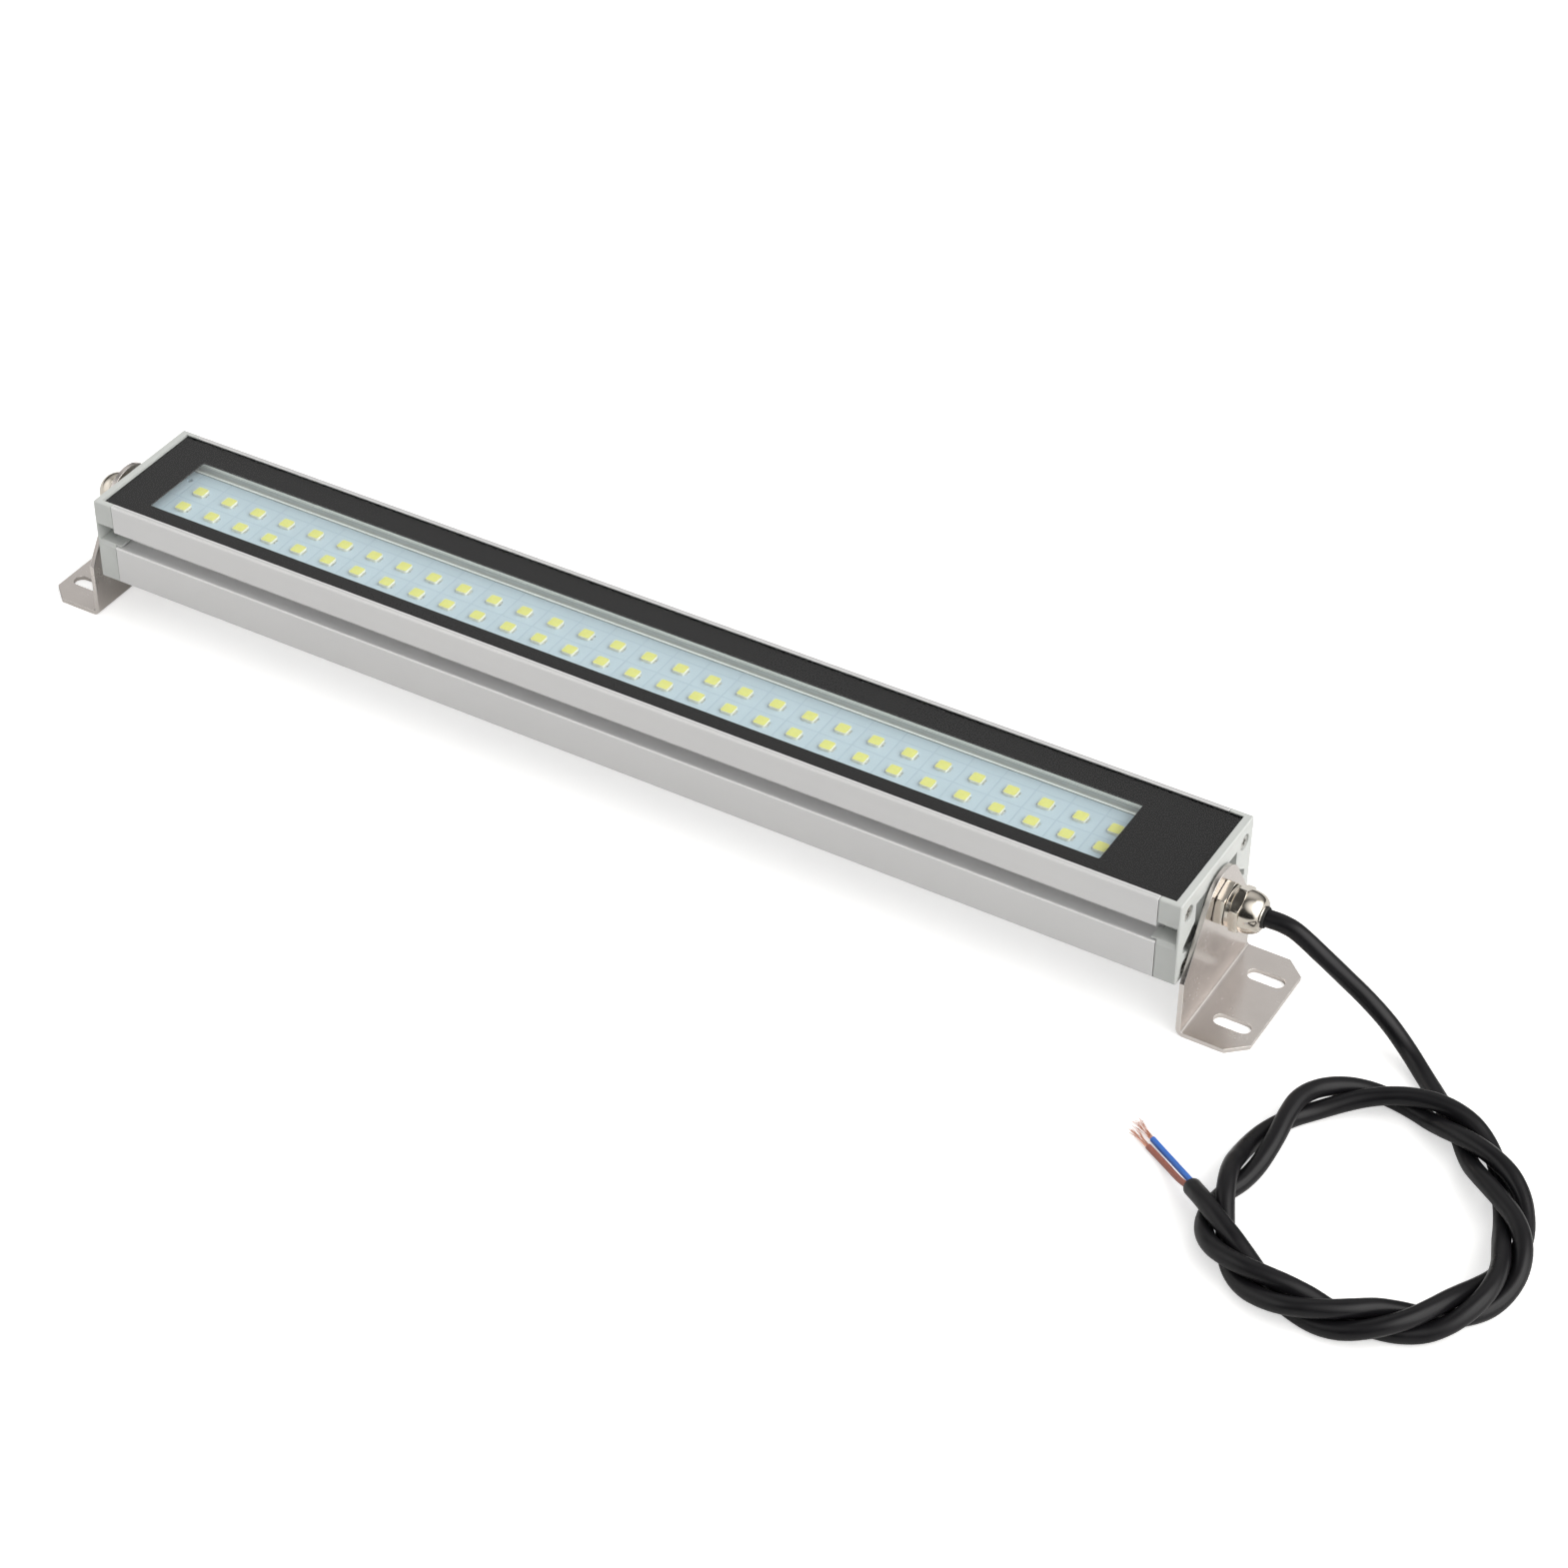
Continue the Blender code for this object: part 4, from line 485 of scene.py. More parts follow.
def wrap_map(piece, columns, spacing):
    """Give each corner its turn round the tube and its distance along it in centimetres."""
    mesh = piece.data
    corner = np.empty(len(mesh.loops), dtype=np.int32)
    mesh.loops.foreach_get("vertex_index", corner)
    row, column = np.divmod(corner, columns)
    around = column / columns
    starts = np.empty(len(mesh.polygons), dtype=np.int32)
    totals = np.empty(len(mesh.polygons), dtype=np.int32)
    mesh.polygons.foreach_get("loop_start", starts)
    mesh.polygons.foreach_get("loop_total", totals)
    face = np.repeat(np.arange(len(totals)), totals)
    widest = np.maximum.reduceat(around, starts)[face]
    around = np.where((widest > 0.75) & (around < 0.25), around + 1.0, around)
    layer = mesh.uv_layers.new(name="wrap")
    layer.data.foreach_set("uv", np.stack([around, row * spacing * 100], -1).astype(np.float32).ravel())


wrap_map(cord, AROUND, cord_length / (len(cord_path) - 1))
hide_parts("cord_lead", "cord_coil", "cord_tail")
print("jacket has", len(cord.data.polygons), "faces")

# %% [markdown]
# ## Cores and copper
# Two insulated cores come out of the jacket, brown and blue, and their strands fan out
# where the copper was bared. Each strand leaves its core at its own place in the bundle,
# then drifts outwards with the square of the distance and curls a little.

# %% Finishes of the cores and the copper
def core_finish(name, colour, paler):
    """Smooth insulation: slightly cloudy colour and a soft shine."""
    made, tree = start_finish(name, colour, 0.38)
    clouds = noise(tree, 350, 3.0)
    paint(tree, clouds, colour, paler)
    gloss(tree, clouds, 0.32, 0.46)
    relief(tree, noise(tree, 1500, 2.0), 0.00003)
    return made


brown_look = core_finish("brown_core_insulation", (0.27, 0.085, 0.060), (0.36, 0.13, 0.09))
blue_look = core_finish("blue_core_insulation", (0.03, 0.13, 0.52), (0.05, 0.19, 0.62))
red_look = core_finish("red_wire_insulation", (0.52, 0.03, 0.02), (0.62, 0.05, 0.04))
black_look = core_finish("black_wire_insulation", (0.012, 0.012, 0.013), (0.025, 0.025, 0.026))

copper_look, tree = start_finish("bare_copper", (0.86, 0.47, 0.34), 0.28, 1.0)
tarnish = noise(tree, 900, 3.0)
paint(tree, tarnish, (0.90, 0.52, 0.40), (0.72, 0.34, 0.22))
gloss(tree, tarnish, 0.20, 0.40)
relief(tree, tarnish, 0.00002)
print("finishes:", brown_look.name, blue_look.name, copper_look.name)

# %% [markdown]
# The two cores start side by side in the jacket's end and follow a route of their own down
# to the floor. The chance for the strands comes from a seeded generator, so each run draws
# the same wires.

# %% Cores and strands
CORE_DIAMETER = 0.0024
GAP = 0.0003
GOLDEN_ANGLE = 2.399963
STRAND_RADIUS = 0.00012
BROWN_ROUTE = [(0.2952, -0.1039, 0.0059), (0.2886, -0.0983, 0.0032), (0.2825, -0.0939, 0.0018),
               (0.2765, -0.0904, 0.0015)]
BLUE_ROUTE = [(0.2955, -0.1005, 0.0061), (0.2888, -0.0947, 0.0034), (0.2824, -0.0900, 0.0019),
              (0.2762, -0.0861, 0.0015)]


def strand_bundle(start, ahead, count, seed):
    """Fine wires: place = start + ahead * s + (bundle place + drift * s^2 + curl) sideways.

    The bundle places lie on a sunflower spiral, so the wires fill the core evenly.
    """
    chance = np.random.default_rng(seed)
    number = np.arange(count)
    turn = number * GOLDEN_ANGLE
    packed = 0.00085 * np.sqrt((number + 0.5) / count)
    share = np.linspace(0, 1, 12)[None, :]
    reach = chance.uniform(0.0085, 0.0125, (count, 1)) * share
    curl = chance.uniform(0.0002, 0.0007, (count, 1)) * np.sin(share * chance.uniform(3, 8, (count, 1)))
    opened = packed[:, None] + share ** 2 * chance.uniform(0.0002, 0.0019, (count, 1))
    side = np.array([-ahead[1], ahead[0], 0.0])
    sideways = opened * np.cos(turn)[:, None] + curl * share
    upward = opened * np.sin(turn)[:, None] * (1 - 0.5 * share) + 0.5 * curl * share
    line = start + ahead * reach[..., None] + side * sideways[..., None]
    line[..., 2] = np.maximum(start[2] + upward, 0.00025 + 0.0001 * (number % 4)[:, None])
    return line


def put_bundle(name, lines, radius, look, node, slot):
    """One mesh of thin six-sided tubes, one for each line."""
    points, faces = [], []
    for line in lines:
        rings = rings_along(line, np.linspace(radius, radius * 0.8, len(line)), 6)
        faces += [[corner + len(points) * rings.size // 3 for corner in face] for face in closed_grid(rings)]
        points.append(rings.reshape(-1, 3))
    piece = put_piece(name, np.vstack(points), faces, look, slot, 60)
    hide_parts(node)
    return piece


tip_ahead = unit(cord_path[-1] - cord_path[-2])
across = unit(np.cross(tip_ahead, (0, 0, 1))) * (CORE_DIAMETER / 2 + GAP / 2)
cord_pieces = []
cores = (("brown", -1, BROWN_ROUTE, brown_look, 17), ("blue", 1, BLUE_ROUTE, blue_look, 16))
for name, way, route, look, count in cores:
    start = cord_path[-1] + across * way
    path = smooth_path([start - tip_ahead * 0.0008, start + tip_ahead * 0.0024] + route, 6)
    tube = rings_along(path, CORE_DIAMETER / 2, 20)
    core = put_piece("core_" + name + "_tube", tube, closed_grid(tube), look, name + "_insulation", 60)
    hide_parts("core_" + name)
    ahead = unit((path[-1] - path[-2]) * (1, 1, 0))
    lines = strand_bundle(path[-1] - ahead * 0.0005, ahead, count, 5 + count)
    strands = put_bundle("strands_" + name, lines, STRAND_RADIUS, copper_look,
                         "copper_strands_" + name, "bare_copper")
    cord_pieces += [core, strands]
print("pieces on the cord's end:", [piece.name for piece in cord_pieces])

# %% [markdown]
# ## Anodised aluminium
# The profile was pushed through a die, which leaves very fine lines along its length, and
# then etched and anodised to a matt light grey. Stretching a noise along the profile gives
# the die lines. Along its sharp corners that look up a thin highlight is painted in, near
# white, where the light from above catches the edges.

# %% Finish of the profile
DIE_LINES = (6, 2600, 2600)


def aluminium_finish():
    """Die lines under faint clouds, and a painted highlight on the edges that look up."""
    made, tree = start_finish("matt_anodised_aluminium", (0.71, 0.71, 0.71), 0.46, 0.60)
    lines = noise(tree, DIE_LINES, 2.0)
    shade = tint(tree, lines, (0.690, 0.690, 0.692), (0.735, 0.735, 0.737))
    clouds = tint(tree, noise(tree, (9, 30, 30), 3.0), (0.95, 0.95, 0.955), (1.0, 1.0, 0.995))
    # painted highlight: a near-white colour and less metal along the edges that look up
    edges = spread(tree, edge_highlight_share(tree, 0.0009, upward=True), 0.0, 1.0, 0.0, 0.40)
    paint(tree, edges, tint(tree, 1.0, shade, clouds, "MULTIPLY"), (0.99, 0.99, 0.985))
    feed(tree, {"Metallic": spread(tree, edges, 0.60, 0.05, 0.1, 0.8)})
    gloss(tree, lines, 0.42, 0.52)
    relief(tree, reckon(tree, "MULTIPLY_ADD", noise(tree, 9000, 2.0), 0.6, lines), 0.000015)
    return made


aluminium_look = aluminium_finish()
print("finish:", aluminium_look.name)

# %% [markdown]
# ## Rounding the measured solids
# No real edge is quite sharp, and a rounding of some tenths of a millimetre catches a thin
# line of light. A copy of the solid gets its double corners merged and its flat faces
# joined, then the Bevel modifier rounds the edges that are left. Where a hollow has to be
# deeper than it is in the solid, a closed mesh of the hollow's shape is taken out first.

# %% Helpers for the measured solids
SAME_PLACE, FLAT_WITHIN, SHARP_FROM = 1e-6, 0.4, 30


def carved(mesh, room):
    """What is left of a closed mesh when the room, a closed mesh too, is taken out of it."""
    solid, tool = stand("carved", mesh), stand("room", room)
    carve = solid.modifiers.new("carve", "BOOLEAN")
    carve.object = tool
    carve.solver = "EXACT"
    found = solid.evaluated_get(bpy.context.evaluated_depsgraph_get())
    left = bpy.data.meshes.new_from_object(found)
    for piece in (solid, tool):
        bpy.data.objects.remove(piece)
    return left


def bevelled(piece, width, segments=2):
    """Round a piece's sharp edges with the Bevel modifier."""
    bevel = piece.modifiers.new("soft edges", "BEVEL")
    bevel.width = width
    bevel.segments = segments
    bevel.limit_method = "ANGLE"
    bevel.angle_limit = math.radians(SHARP_FROM)
    bevel.harden_normals = True


def softened(node, name, width, look, slot, segments=2, room=None):
    """A measured solid with its corners merged and its sharp edges rounded by the width.

    A room is a closed mesh that is taken out of the solid before its edges are rounded.
    """
    mesh = nodes[node].data.copy()
    work = bmesh.new()
    work.from_mesh(mesh)
    bmesh.ops.remove_doubles(work, verts=work.verts, dist=SAME_PLACE)
    if room:
        work.to_mesh(mesh)
        work.clear()
        work.from_mesh(carved(mesh, room))
        bmesh.ops.remove_doubles(work, verts=work.verts, dist=SAME_PLACE)
    flat = math.radians(FLAT_WITHIN)
    bmesh.ops.dissolve_limit(work, angle_limit=flat, verts=work.verts, edges=work.edges)
    work.to_mesh(mesh)
    work.free()
    piece = dressed(name, mesh, look, SHARP_FROM, nodes[node]["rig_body"])
    bevelled(piece, width, segments)
    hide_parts(node)


softened("housing_extrusion", "profile_anodised", 0.00030, aluminium_look, "anodised_aluminium")
print("profile edges are rounded by 0.3 mm")

# %% [markdown]
# ## Toughened glass and its black print
# The glass is a slab four millimetres thick with ground edges. Light that comes to the
# LEDs passes straight through, so shadow and diffuse rays take a clear shader instead of
# the bending one, which keeps the chamber bright. The black border is printed under the
# glass and is seen through it, which is why it looks glossy and deep.

# %% Finishes of the glass and the print
glass_look, tree = start_finish("toughened_glass", (0.95, 0.985, 0.975), 0.0)
feed(tree, {"Transmission Weight": 1.0, "IOR": 1.46})
smear = noise(tree, (14, 40, 40), 3.0)
paint(tree, smear, (0.95, 0.985, 0.975), (0.93, 0.975, 0.965))
relief(tree, smear, 0.00002, 0.3)
ray = add(tree, "LightPath")
passing = reckon(tree, "MAXIMUM", ray.outputs["Is Shadow Ray"], ray.outputs["Is Diffuse Ray"])
bent = tree.nodes["Principled BSDF"].outputs["BSDF"]
clear = add(tree, "BsdfTransparent", {"Color": (0.96, 0.985, 0.98, 1.0)})
mixed = add(tree, "MixShader", {0: passing, 1: bent, 2: clear.outputs[0]})
tree.links.new(mixed.outputs[0], tree.nodes["Material Output"].inputs["Surface"])

print_look, tree = start_finish("black_print", (0.010, 0.010, 0.011), 0.35)
dots = noise(tree, 2200, 2.0)
paint(tree, noise(tree, 12, 2.0), (0.003, 0.003, 0.0035), (0.006, 0.0058, 0.0062))
gloss(tree, dots, 0.30, 0.42)
relief(tree, dots, 0.000001, 0.2)
feed(tree, {"Specular IOR Level": 0.0})
print("finishes:", glass_look.name, print_look.name)

# %% [markdown]
# The glass, its border and the LED board are flat plates. Triangles fill a plate's outline
# and leave its holes open, once below and once above, and a wall joins the two.

# %% Plates with holes
def rounded_corners(low, high, radius):
    """Outline of a rectangle: each corner is a quarter circle round its own centre."""
    turn = np.linspace(0, math.pi / 2, 5)
    quarter = np.stack([np.cos(turn), np.sin(turn)], -1) * radius
    spots = []
    for step, far in enumerate(((1, 1), (0, 1), (0, 0), (1, 0))):
        cosine, sine = round(math.cos(step * math.pi / 2)), round(math.sin(step * math.pi / 2))
        turned = quarter @ np.array([[cosine, sine], [-sine, cosine]])
        centre = np.where(far, high[:2], low[:2]) + np.where(far, -radius, radius)
        spots.append(centre + turned)
    return np.vstack(spots)


def plate(loops, low, high):
    """A flat plate from outlines in the XY plane: filled below and above, walled between."""
    flat = np.vstack(loops)
    count = len(flat)
    points = np.vstack([np.column_stack([flat, np.full(count, z)]) for z in (low, high)])
    fill = np.array(tessellate_polygon([[Vector((x, y, 0)) for x, y in loop] for loop in loops]))
    a, b, c = (flat[fill[:, corner]].T for corner in range(3))
    upright = (b[0] - a[0]) * (c[1] - a[1]) - (b[1] - a[1]) * (c[0] - a[0]) > 0
    fill = np.where(upright[:, None], fill, fill[:, ::-1])
    faces = np.stack([fill + count, fill[:, ::-1]], 1).reshape(-1, 3).tolist()
    first = 0
    for loop in loops:
        index = first + np.arange(len(loop))
        after = np.roll(index, -1)
        area = np.sum(loop[:, 0] * np.roll(loop[:, 1], -1) - np.roll(loop[:, 0], -1) * loop[:, 1])
        outward = (area > 0) == (first == 0)
        walls = np.stack([index, after, after + count, index + count], -1)
        faces += walls[:, ::1 if outward else -1].tolist()
        first += len(loop)
    return points, faces


low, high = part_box("glass_panel")
edge = rounded_corners(low, high, 0.0006)
glass = put_piece("glass_slab", *plate([edge], low[2], high[2]), glass_look, "clear_glass")
bevelled(glass, 0.0004)
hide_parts("glass_panel")

WINDOW_LEFT, WINDOW_RIGHT, WINDOW_SIDE, PRINT_IN_GLASS = 0.01635, 0.03685, 0.0185, 0.00032
low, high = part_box("glass_border_frame")
window = rounded_corners((low[0] + WINDOW_LEFT, -WINDOW_SIDE), (high[0] - WINDOW_RIGHT, WINDOW_SIDE), 0.0008)
solid = plate([rounded_corners(low, high, 0.0006), window], low[2], high[2] + PRINT_IN_GLASS)
border = put_piece("black_border_print", *solid, print_look, "black_print")
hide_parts("glass_border_frame")
print("window", [round(float(value) * 1000, 1) for value in window.max(0) - window.min(0)], "mm")

# %% [markdown]
# ## The LED board
# The board is a strip of pale solder mask over copper. The copper areas under the mask
# stand a hair higher and look a shade paler, with thin gaps between one LED and the next.
# A pattern of bricks the size of the LED pitch makes those gaps at their true places.

# %% Finishes of the board and the LEDs
LED_PITCH, LED_FIRST, LED_ROWS_APART, LEDS = 0.0150, 0.0169, 0.0123, 30
low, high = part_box("led_board")
board_left, board_right, board_side = low[0], high[0], high[1]
LED_HEIGHT = 0.0016
board_top = high[2] - LED_HEIGHT
first_led = board_left + LED_FIRST

board_look, tree = start_finish("pale_solder_mask", (0.46, 0.60, 0.68), 0.40)
spot = add(tree, "TexCoord").outputs["Object"]
between = (-(first_led + LED_PITCH / 2), 0.0, 0.0)
shifted = add(tree, "Mapping", {"Vector": spot, "Location": between}).outputs["Vector"]
laid = {"Scale": 1.0, "Mortar Size": 0.00035, "Mortar Smooth": 0.35, "Brick Width": LED_PITCH,
        "Row Height": LED_ROWS_APART}
bricks = add(tree, "TexBrick", {"Vector": shifted, **laid}, offset=0.0)
copper = bricks.outputs["Fac"]
clouds = noise(tree, 55, 4.0)
masked = tint(tree, clouds, (0.500, 0.585, 0.665), (0.530, 0.615, 0.690))
paint(tree, copper, masked, (0.45, 0.540, 0.630))
gloss(tree, clouds, 0.34, 0.46)
relief(tree, spread(tree, copper, 1.0, 0.0, 0.0, 1.0), 0.00006)

package_look, tree = start_finish("cream_led_package", (0.80, 0.78, 0.66), 0.40)
clouds = noise(tree, 800, 2.0)
paint(tree, clouds, (0.72, 0.70, 0.58), (0.82, 0.80, 0.70))
relief(tree, clouds, 0.00002)

phosphor_look, tree = start_finish("yellow_phosphor", (0.80, 0.78, 0.16), 0.35)
clouds = noise(tree, 500, 3.0)
paint(tree, clouds, (0.76, 0.71, 0.16), (0.83, 0.79, 0.24))
feed(tree, {"Subsurface Weight": 0.15, "Subsurface Radius": (0.001, 0.0008, 0.0003), "Subsurface Scale": 0.4,
            "Coat Weight": 0.4, "Coat Roughness": 0.15})
relief(tree, clouds, 0.00003)

tin_look, tree = start_finish("tinned_pad", (0.66, 0.66, 0.64), 0.30, 1.0)
clouds = noise(tree, 900, 3.0)
gloss(tree, clouds, 0.22, 0.42)
paint(tree, clouds, (0.60, 0.60, 0.59), (0.72, 0.72, 0.70))
relief(tree, clouds, 0.00004)
print("finishes:", board_look.name, package_look.name, phosphor_look.name, tin_look.name)

# %% [markdown]
# An LED package is a stack of rounded rectangles: up the body, over the rim, down into the
# well and in to the middle of the phosphor. One stack is worked out once and then moved
# to all sixty places at the same time by adding an array of places to it.

# %% The board and its sixty LEDs
BOARD_THICKNESS, BOARD_HOLE = 0.0016, 0.00125
HOLE_FROM_END, HOLE_FROM_SIDE = 0.0066, 0.0077
turn = np.linspace(0, math.tau, 24, endpoint=False)
hole = np.stack([board_left + HOLE_FROM_END + BOARD_HOLE * np.cos(turn),
                 board_side - HOLE_FROM_SIDE + BOARD_HOLE * np.sin(turn)], -1)
outline = rounded_corners((board_left, -board_side), (board_right, board_side), 0.0005)
layers = plate([outline, hole], board_top - BOARD_THICKNESS, board_top)
board = put_piece("led_board_masked", *layers, board_look, "led_board_white")
bevelled(board, 0.0001)
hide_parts("led_board")


def stacked_rings(stack, count=24, squareness=7.0):
    """Rings at heights: x = reach_x * sign(cos a) * |cos a|^(2/n), likewise y with the sine."""
    angle = (np.arange(count) + 0.5) / count * math.tau
    cosine = np.sign(np.cos(angle)) * np.abs(np.cos(angle)) ** (2 / squareness)
    sine = np.sign(np.sin(angle)) * np.abs(np.sin(angle)) ** (2 / squareness)
    stack = np.asarray(stack, float)
    return np.stack([stack[:, :1] * cosine, stack[:, 1:2] * sine, np.repeat(stack[:, 2:], count, 1)], -1)


def copies(name, grid, places, look, slot):
    """The same closed stack of rings at many places, as one mesh."""
    rows, columns = grid.shape[:2]
    size = rows * columns
    points = grid.reshape(1, -1, 3) + places[:, None, :]
    one = closed_grid(grid)
    faces = [[corner + number * size for corner in face] for number in range(len(places)) for face in one]
    return put_piece(name, points, faces, look, slot, 40)


led_x = first_led + np.arange(LEDS) * LED_PITCH
places = np.array([(x, y, board_top) for y in (LED_ROWS_APART / 2, -LED_ROWS_APART / 2) for x in led_x])
body_stack = [(0.0026, 0.00265, 0.00002), (0.0027, 0.00275, 0.0001), (0.0027, 0.00275, 0.00118),
              (0.00266, 0.00271, 0.00130), (0.00259, 0.00264, 0.00130), (0.00255, 0.00260, 0.00122)]
glow_stack = [(0.00254, 0.00259, 0.00110), (0.00254, 0.00259, 0.00124), (0.0018, 0.0018, 0.00129),
              (0.0009, 0.0009, 0.00131), (0.0002, 0.0002, 0.00132)]
pad_stack = [(0.0004, 0.0017, 0.00001), (0.0004, 0.0017, 0.00018), (0.0002, 0.0015, 0.00030)]
copies("led_packages", stacked_rings(body_stack), places, package_look, "led_board_white")
copies("led_phosphor", stacked_rings(glow_stack), places, phosphor_look, "led_board_white")
pads = np.vstack([places + (way * 0.00315, 0, 0) for way in (1, -1)])
copies("solder_pads", stacked_rings(pad_stack, 12, 5.0), pads, tin_look, "led_board_white")
print("LEDs:", len(places), "pads:", len(pads))

# %% [markdown]
# Between the board and the glass the inner walls are stepped. Each slanted step catches the
# light and the wall under it stays in shade. The finish paints that light and shade in as
# well: bands of painted highlight and painted shade that follow the height above the board,
# in shares of the chamber's depth. Seen through the glass this reads as fine bright and dark lines.

# %% The stepped walls of the chamber
WALL = 0.01975
chamber_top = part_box("glass_panel")[0][2] - 0.0003
depth = chamber_top - board_top
print("chamber depth", round(depth * 1000, 2), "mm")

step_look, tree = start_finish("stepped_wall_anodised", (0.90, 0.90, 0.87), 0.45, 0.2)
rise = add(tree, "SeparateXYZ", {"Vector": add(tree, "TexCoord").outputs["Object"]}).outputs["Z"]
share = spread(tree, rise, 0.0, 1.0, board_top, chamber_top)
# painted light and shade: bright bands on the slanted steps, dark bands under them and at the foot
painted_light_bands = add(tree, "ValToRGB", {"Fac": share})
painted_light_bands.color_ramp.interpolation = "CONSTANT"
painted_light_levels = ((0.0, 0.05), (0.06, 0.95), (0.15, 0.50), (0.54, 0.88), (0.65, 0.45), (0.71, 0.97))
for number, (position, level) in enumerate(painted_light_levels):
    stop = painted_light_bands.color_ramp.elements[number] if number < 2 else painted_light_bands.color_ramp.elements.new(position)
    stop.position = position
    stop.color = (level, level, level * 0.97, 1.0)
lines = noise(tree, DIE_LINES, 2.0)
dust = tint(tree, lines, (0.93, 0.93, 0.93), (1.0, 1.0, 1.0))
feed(tree, {"Base Color": tint(tree, 1.0, painted_light_bands.outputs["Color"], dust, "MULTIPLY")})
gloss(tree, lines, 0.40, 0.52)
relief(tree, lines, 0.000015)

heights = np.array([0.0, 0.06, 0.145, 0.15, 0.54, 0.64, 0.70, 0.97, 1.0])
reaches = np.array([0.01800, 0.01795, 0.01850, 0.01925, 0.01925, 0.01955, 0.01875, 0.01965, 0.01965])
steps = np.column_stack([reaches, board_top + 0.0001 + heights * (depth - 0.0002)])
steps = np.vstack([steps, (WALL, steps[-1, 1]), (WALL, steps[0, 1])])


def stepped_wall(name, way):
    """The outline of the steps, carried straight along x: point = (x, way * y, z)."""
    ends = np.array([board_left + 0.0004, board_right - 0.0004])
    grid = np.empty((2, len(steps), 3))
    grid[..., 0] = ends[:, None]
    grid[..., 1] = way * steps[None, :, 0]
    grid[..., 2] = steps[None, :, 1]
    faces = closed_grid(grid)
    if way > 0:
        faces = [face[::-1] for face in faces]
    return put_piece(name, grid, faces, step_look, "anodised_aluminium", 20)


for name, way in (("chamber_steps_rear", 1), ("chamber_steps_front", -1)):
    stepped_wall(name, way)

# %% [markdown]
# ## End caps, seals and cap screws
# The caps are moulded in a light grey plastic with a slightly grainy skin. The seals are
# black rubber, the screws zinc plated steel. Bright metals
# are told apart by the grain in their shine: fine for plating, drawn out for a winding.

# %% Finishes of plastic, rubber and metal
def plastic_finish(name, darker, paler, rough, grain=1800, depth=0.00003):
    """Moulded plastic: faint clouds of colour, a fine grain and an uneven shine."""
    made, tree = start_finish(name, paler, rough)
    paint(tree, noise(tree, 45, 4.0), darker, paler)
    fine = noise(tree, grain, 2.0)
    gloss(tree, fine, rough - 0.06, rough + 0.06)
    relief(tree, fine, depth)
    return made


cap_look = plastic_finish("light_grey_moulding", (0.50, 0.52, 0.505), (0.545, 0.56, 0.545), 0.42)
rubber_look = plastic_finish("black_seal_rubber", (0.012, 0.012, 0.012), (0.024, 0.023, 0.022), 0.62,
                             1400, 0.00005)
terminal_look = plastic_finish("blue_terminal_moulding", (0.03, 0.10, 0.30), (0.05, 0.15, 0.38), 0.40)
film_look = plastic_finish("milky_insulating_tray", (0.62, 0.62, 0.57), (0.70, 0.70, 0.66), 0.50)


def metal_finish(name, darker, paler, smoother, rougher, stretch, depth=0.00001, edge=None):
    """Bare or plated metal: stretched grain in colour, shine and height, and painted edge highlights."""
    made, tree = start_finish(name, paler, smoother, 1.0)
    grain = noise(tree, stretch, 4.0)
    clouds = noise(tree, 60, 3.0)
    colour = tint(tree, clouds, darker, paler)
    # painted highlight: the edge colour is painted along the sharp edges
    if edge:
        colour = tint(tree, edge_highlight_share(tree, 0.0005), colour, edge)
    feed(tree, {"Base Color": colour})
    gloss(tree, reckon(tree, "ADD", grain, clouds), smoother, rougher, 0.7, 1.3)
    relief(tree, grain, depth)
    return made


screw_look = metal_finish("zinc_plated_screw", (0.52, 0.52, 0.50), (0.66, 0.66, 0.63), 0.22, 0.38, 900)
# The edge colours of the sheet and the nickel paint a highlight along their edges.
steel_look = metal_finish("brushed_stainless_sheet", (0.63, 0.588, 0.560), (0.78, 0.731, 0.700), 0.20, 0.28,
                          900, 0.0000003, (0.90, 0.88, 0.86))
nickel_look = metal_finish("polished_nickel", (0.60, 0.55, 0.48), (0.74, 0.69, 0.61), 0.08, 0.18,
                           300, 0.000004, (0.90, 0.87, 0.82))
NICKEL = (nickel_look, "nickel_plating")
print("finishes:", cap_look.name, rubber_look.name, screw_look.name, steel_look.name, nickel_look.name)

# %% [markdown]
# At each end of the profile's side slot the cap has a notch. The photograph shows it open
# and deep, and in the measured caps it is shallower. So a prism with the notch's section,
# as deep as the slot, is carried along X from a thin end wall to the joint with the
# profile, and taken out of the copy.

# %% The caps and what belongs to them
NOTCH_WALL, NOTCH_REACH = 0.0010, 0.0094
NOTCH_SECTION = ((0.0285, 0.0443), (0.0232, 0.0443), (0.0232, 0.0505), (0.0285, 0.0515))


def notch_room(node, way):
    """Two closed prisms: the notch's section carried along X from its end wall to the joint."""
    face = max(way * corner[0] for corner in nodes[node].bound_box)
    points, faces = [], []
    for half in (-1, 1):
        first = len(points)
        for x in (face - NOTCH_WALL, face - NOTCH_REACH):
            points += [(way * x, half * y, z) for y, z in NOTCH_SECTION]
        ring = [first + corner for corner in range(4)]
        faces += [ring, [corner + 4 for corner in ring]]
        faces += [(ring[k - 1], ring[k], ring[k] + 4, ring[k - 1] + 4) for k in range(4)]
    mesh = bpy.data.meshes.new("notch room")
    mesh.from_pydata(points, [], faces)
    work = bmesh.new()
    work.from_mesh(mesh)
    bmesh.ops.recalc_face_normals(work, faces=work.faces)
    work.to_mesh(mesh)
    work.free()
    return mesh


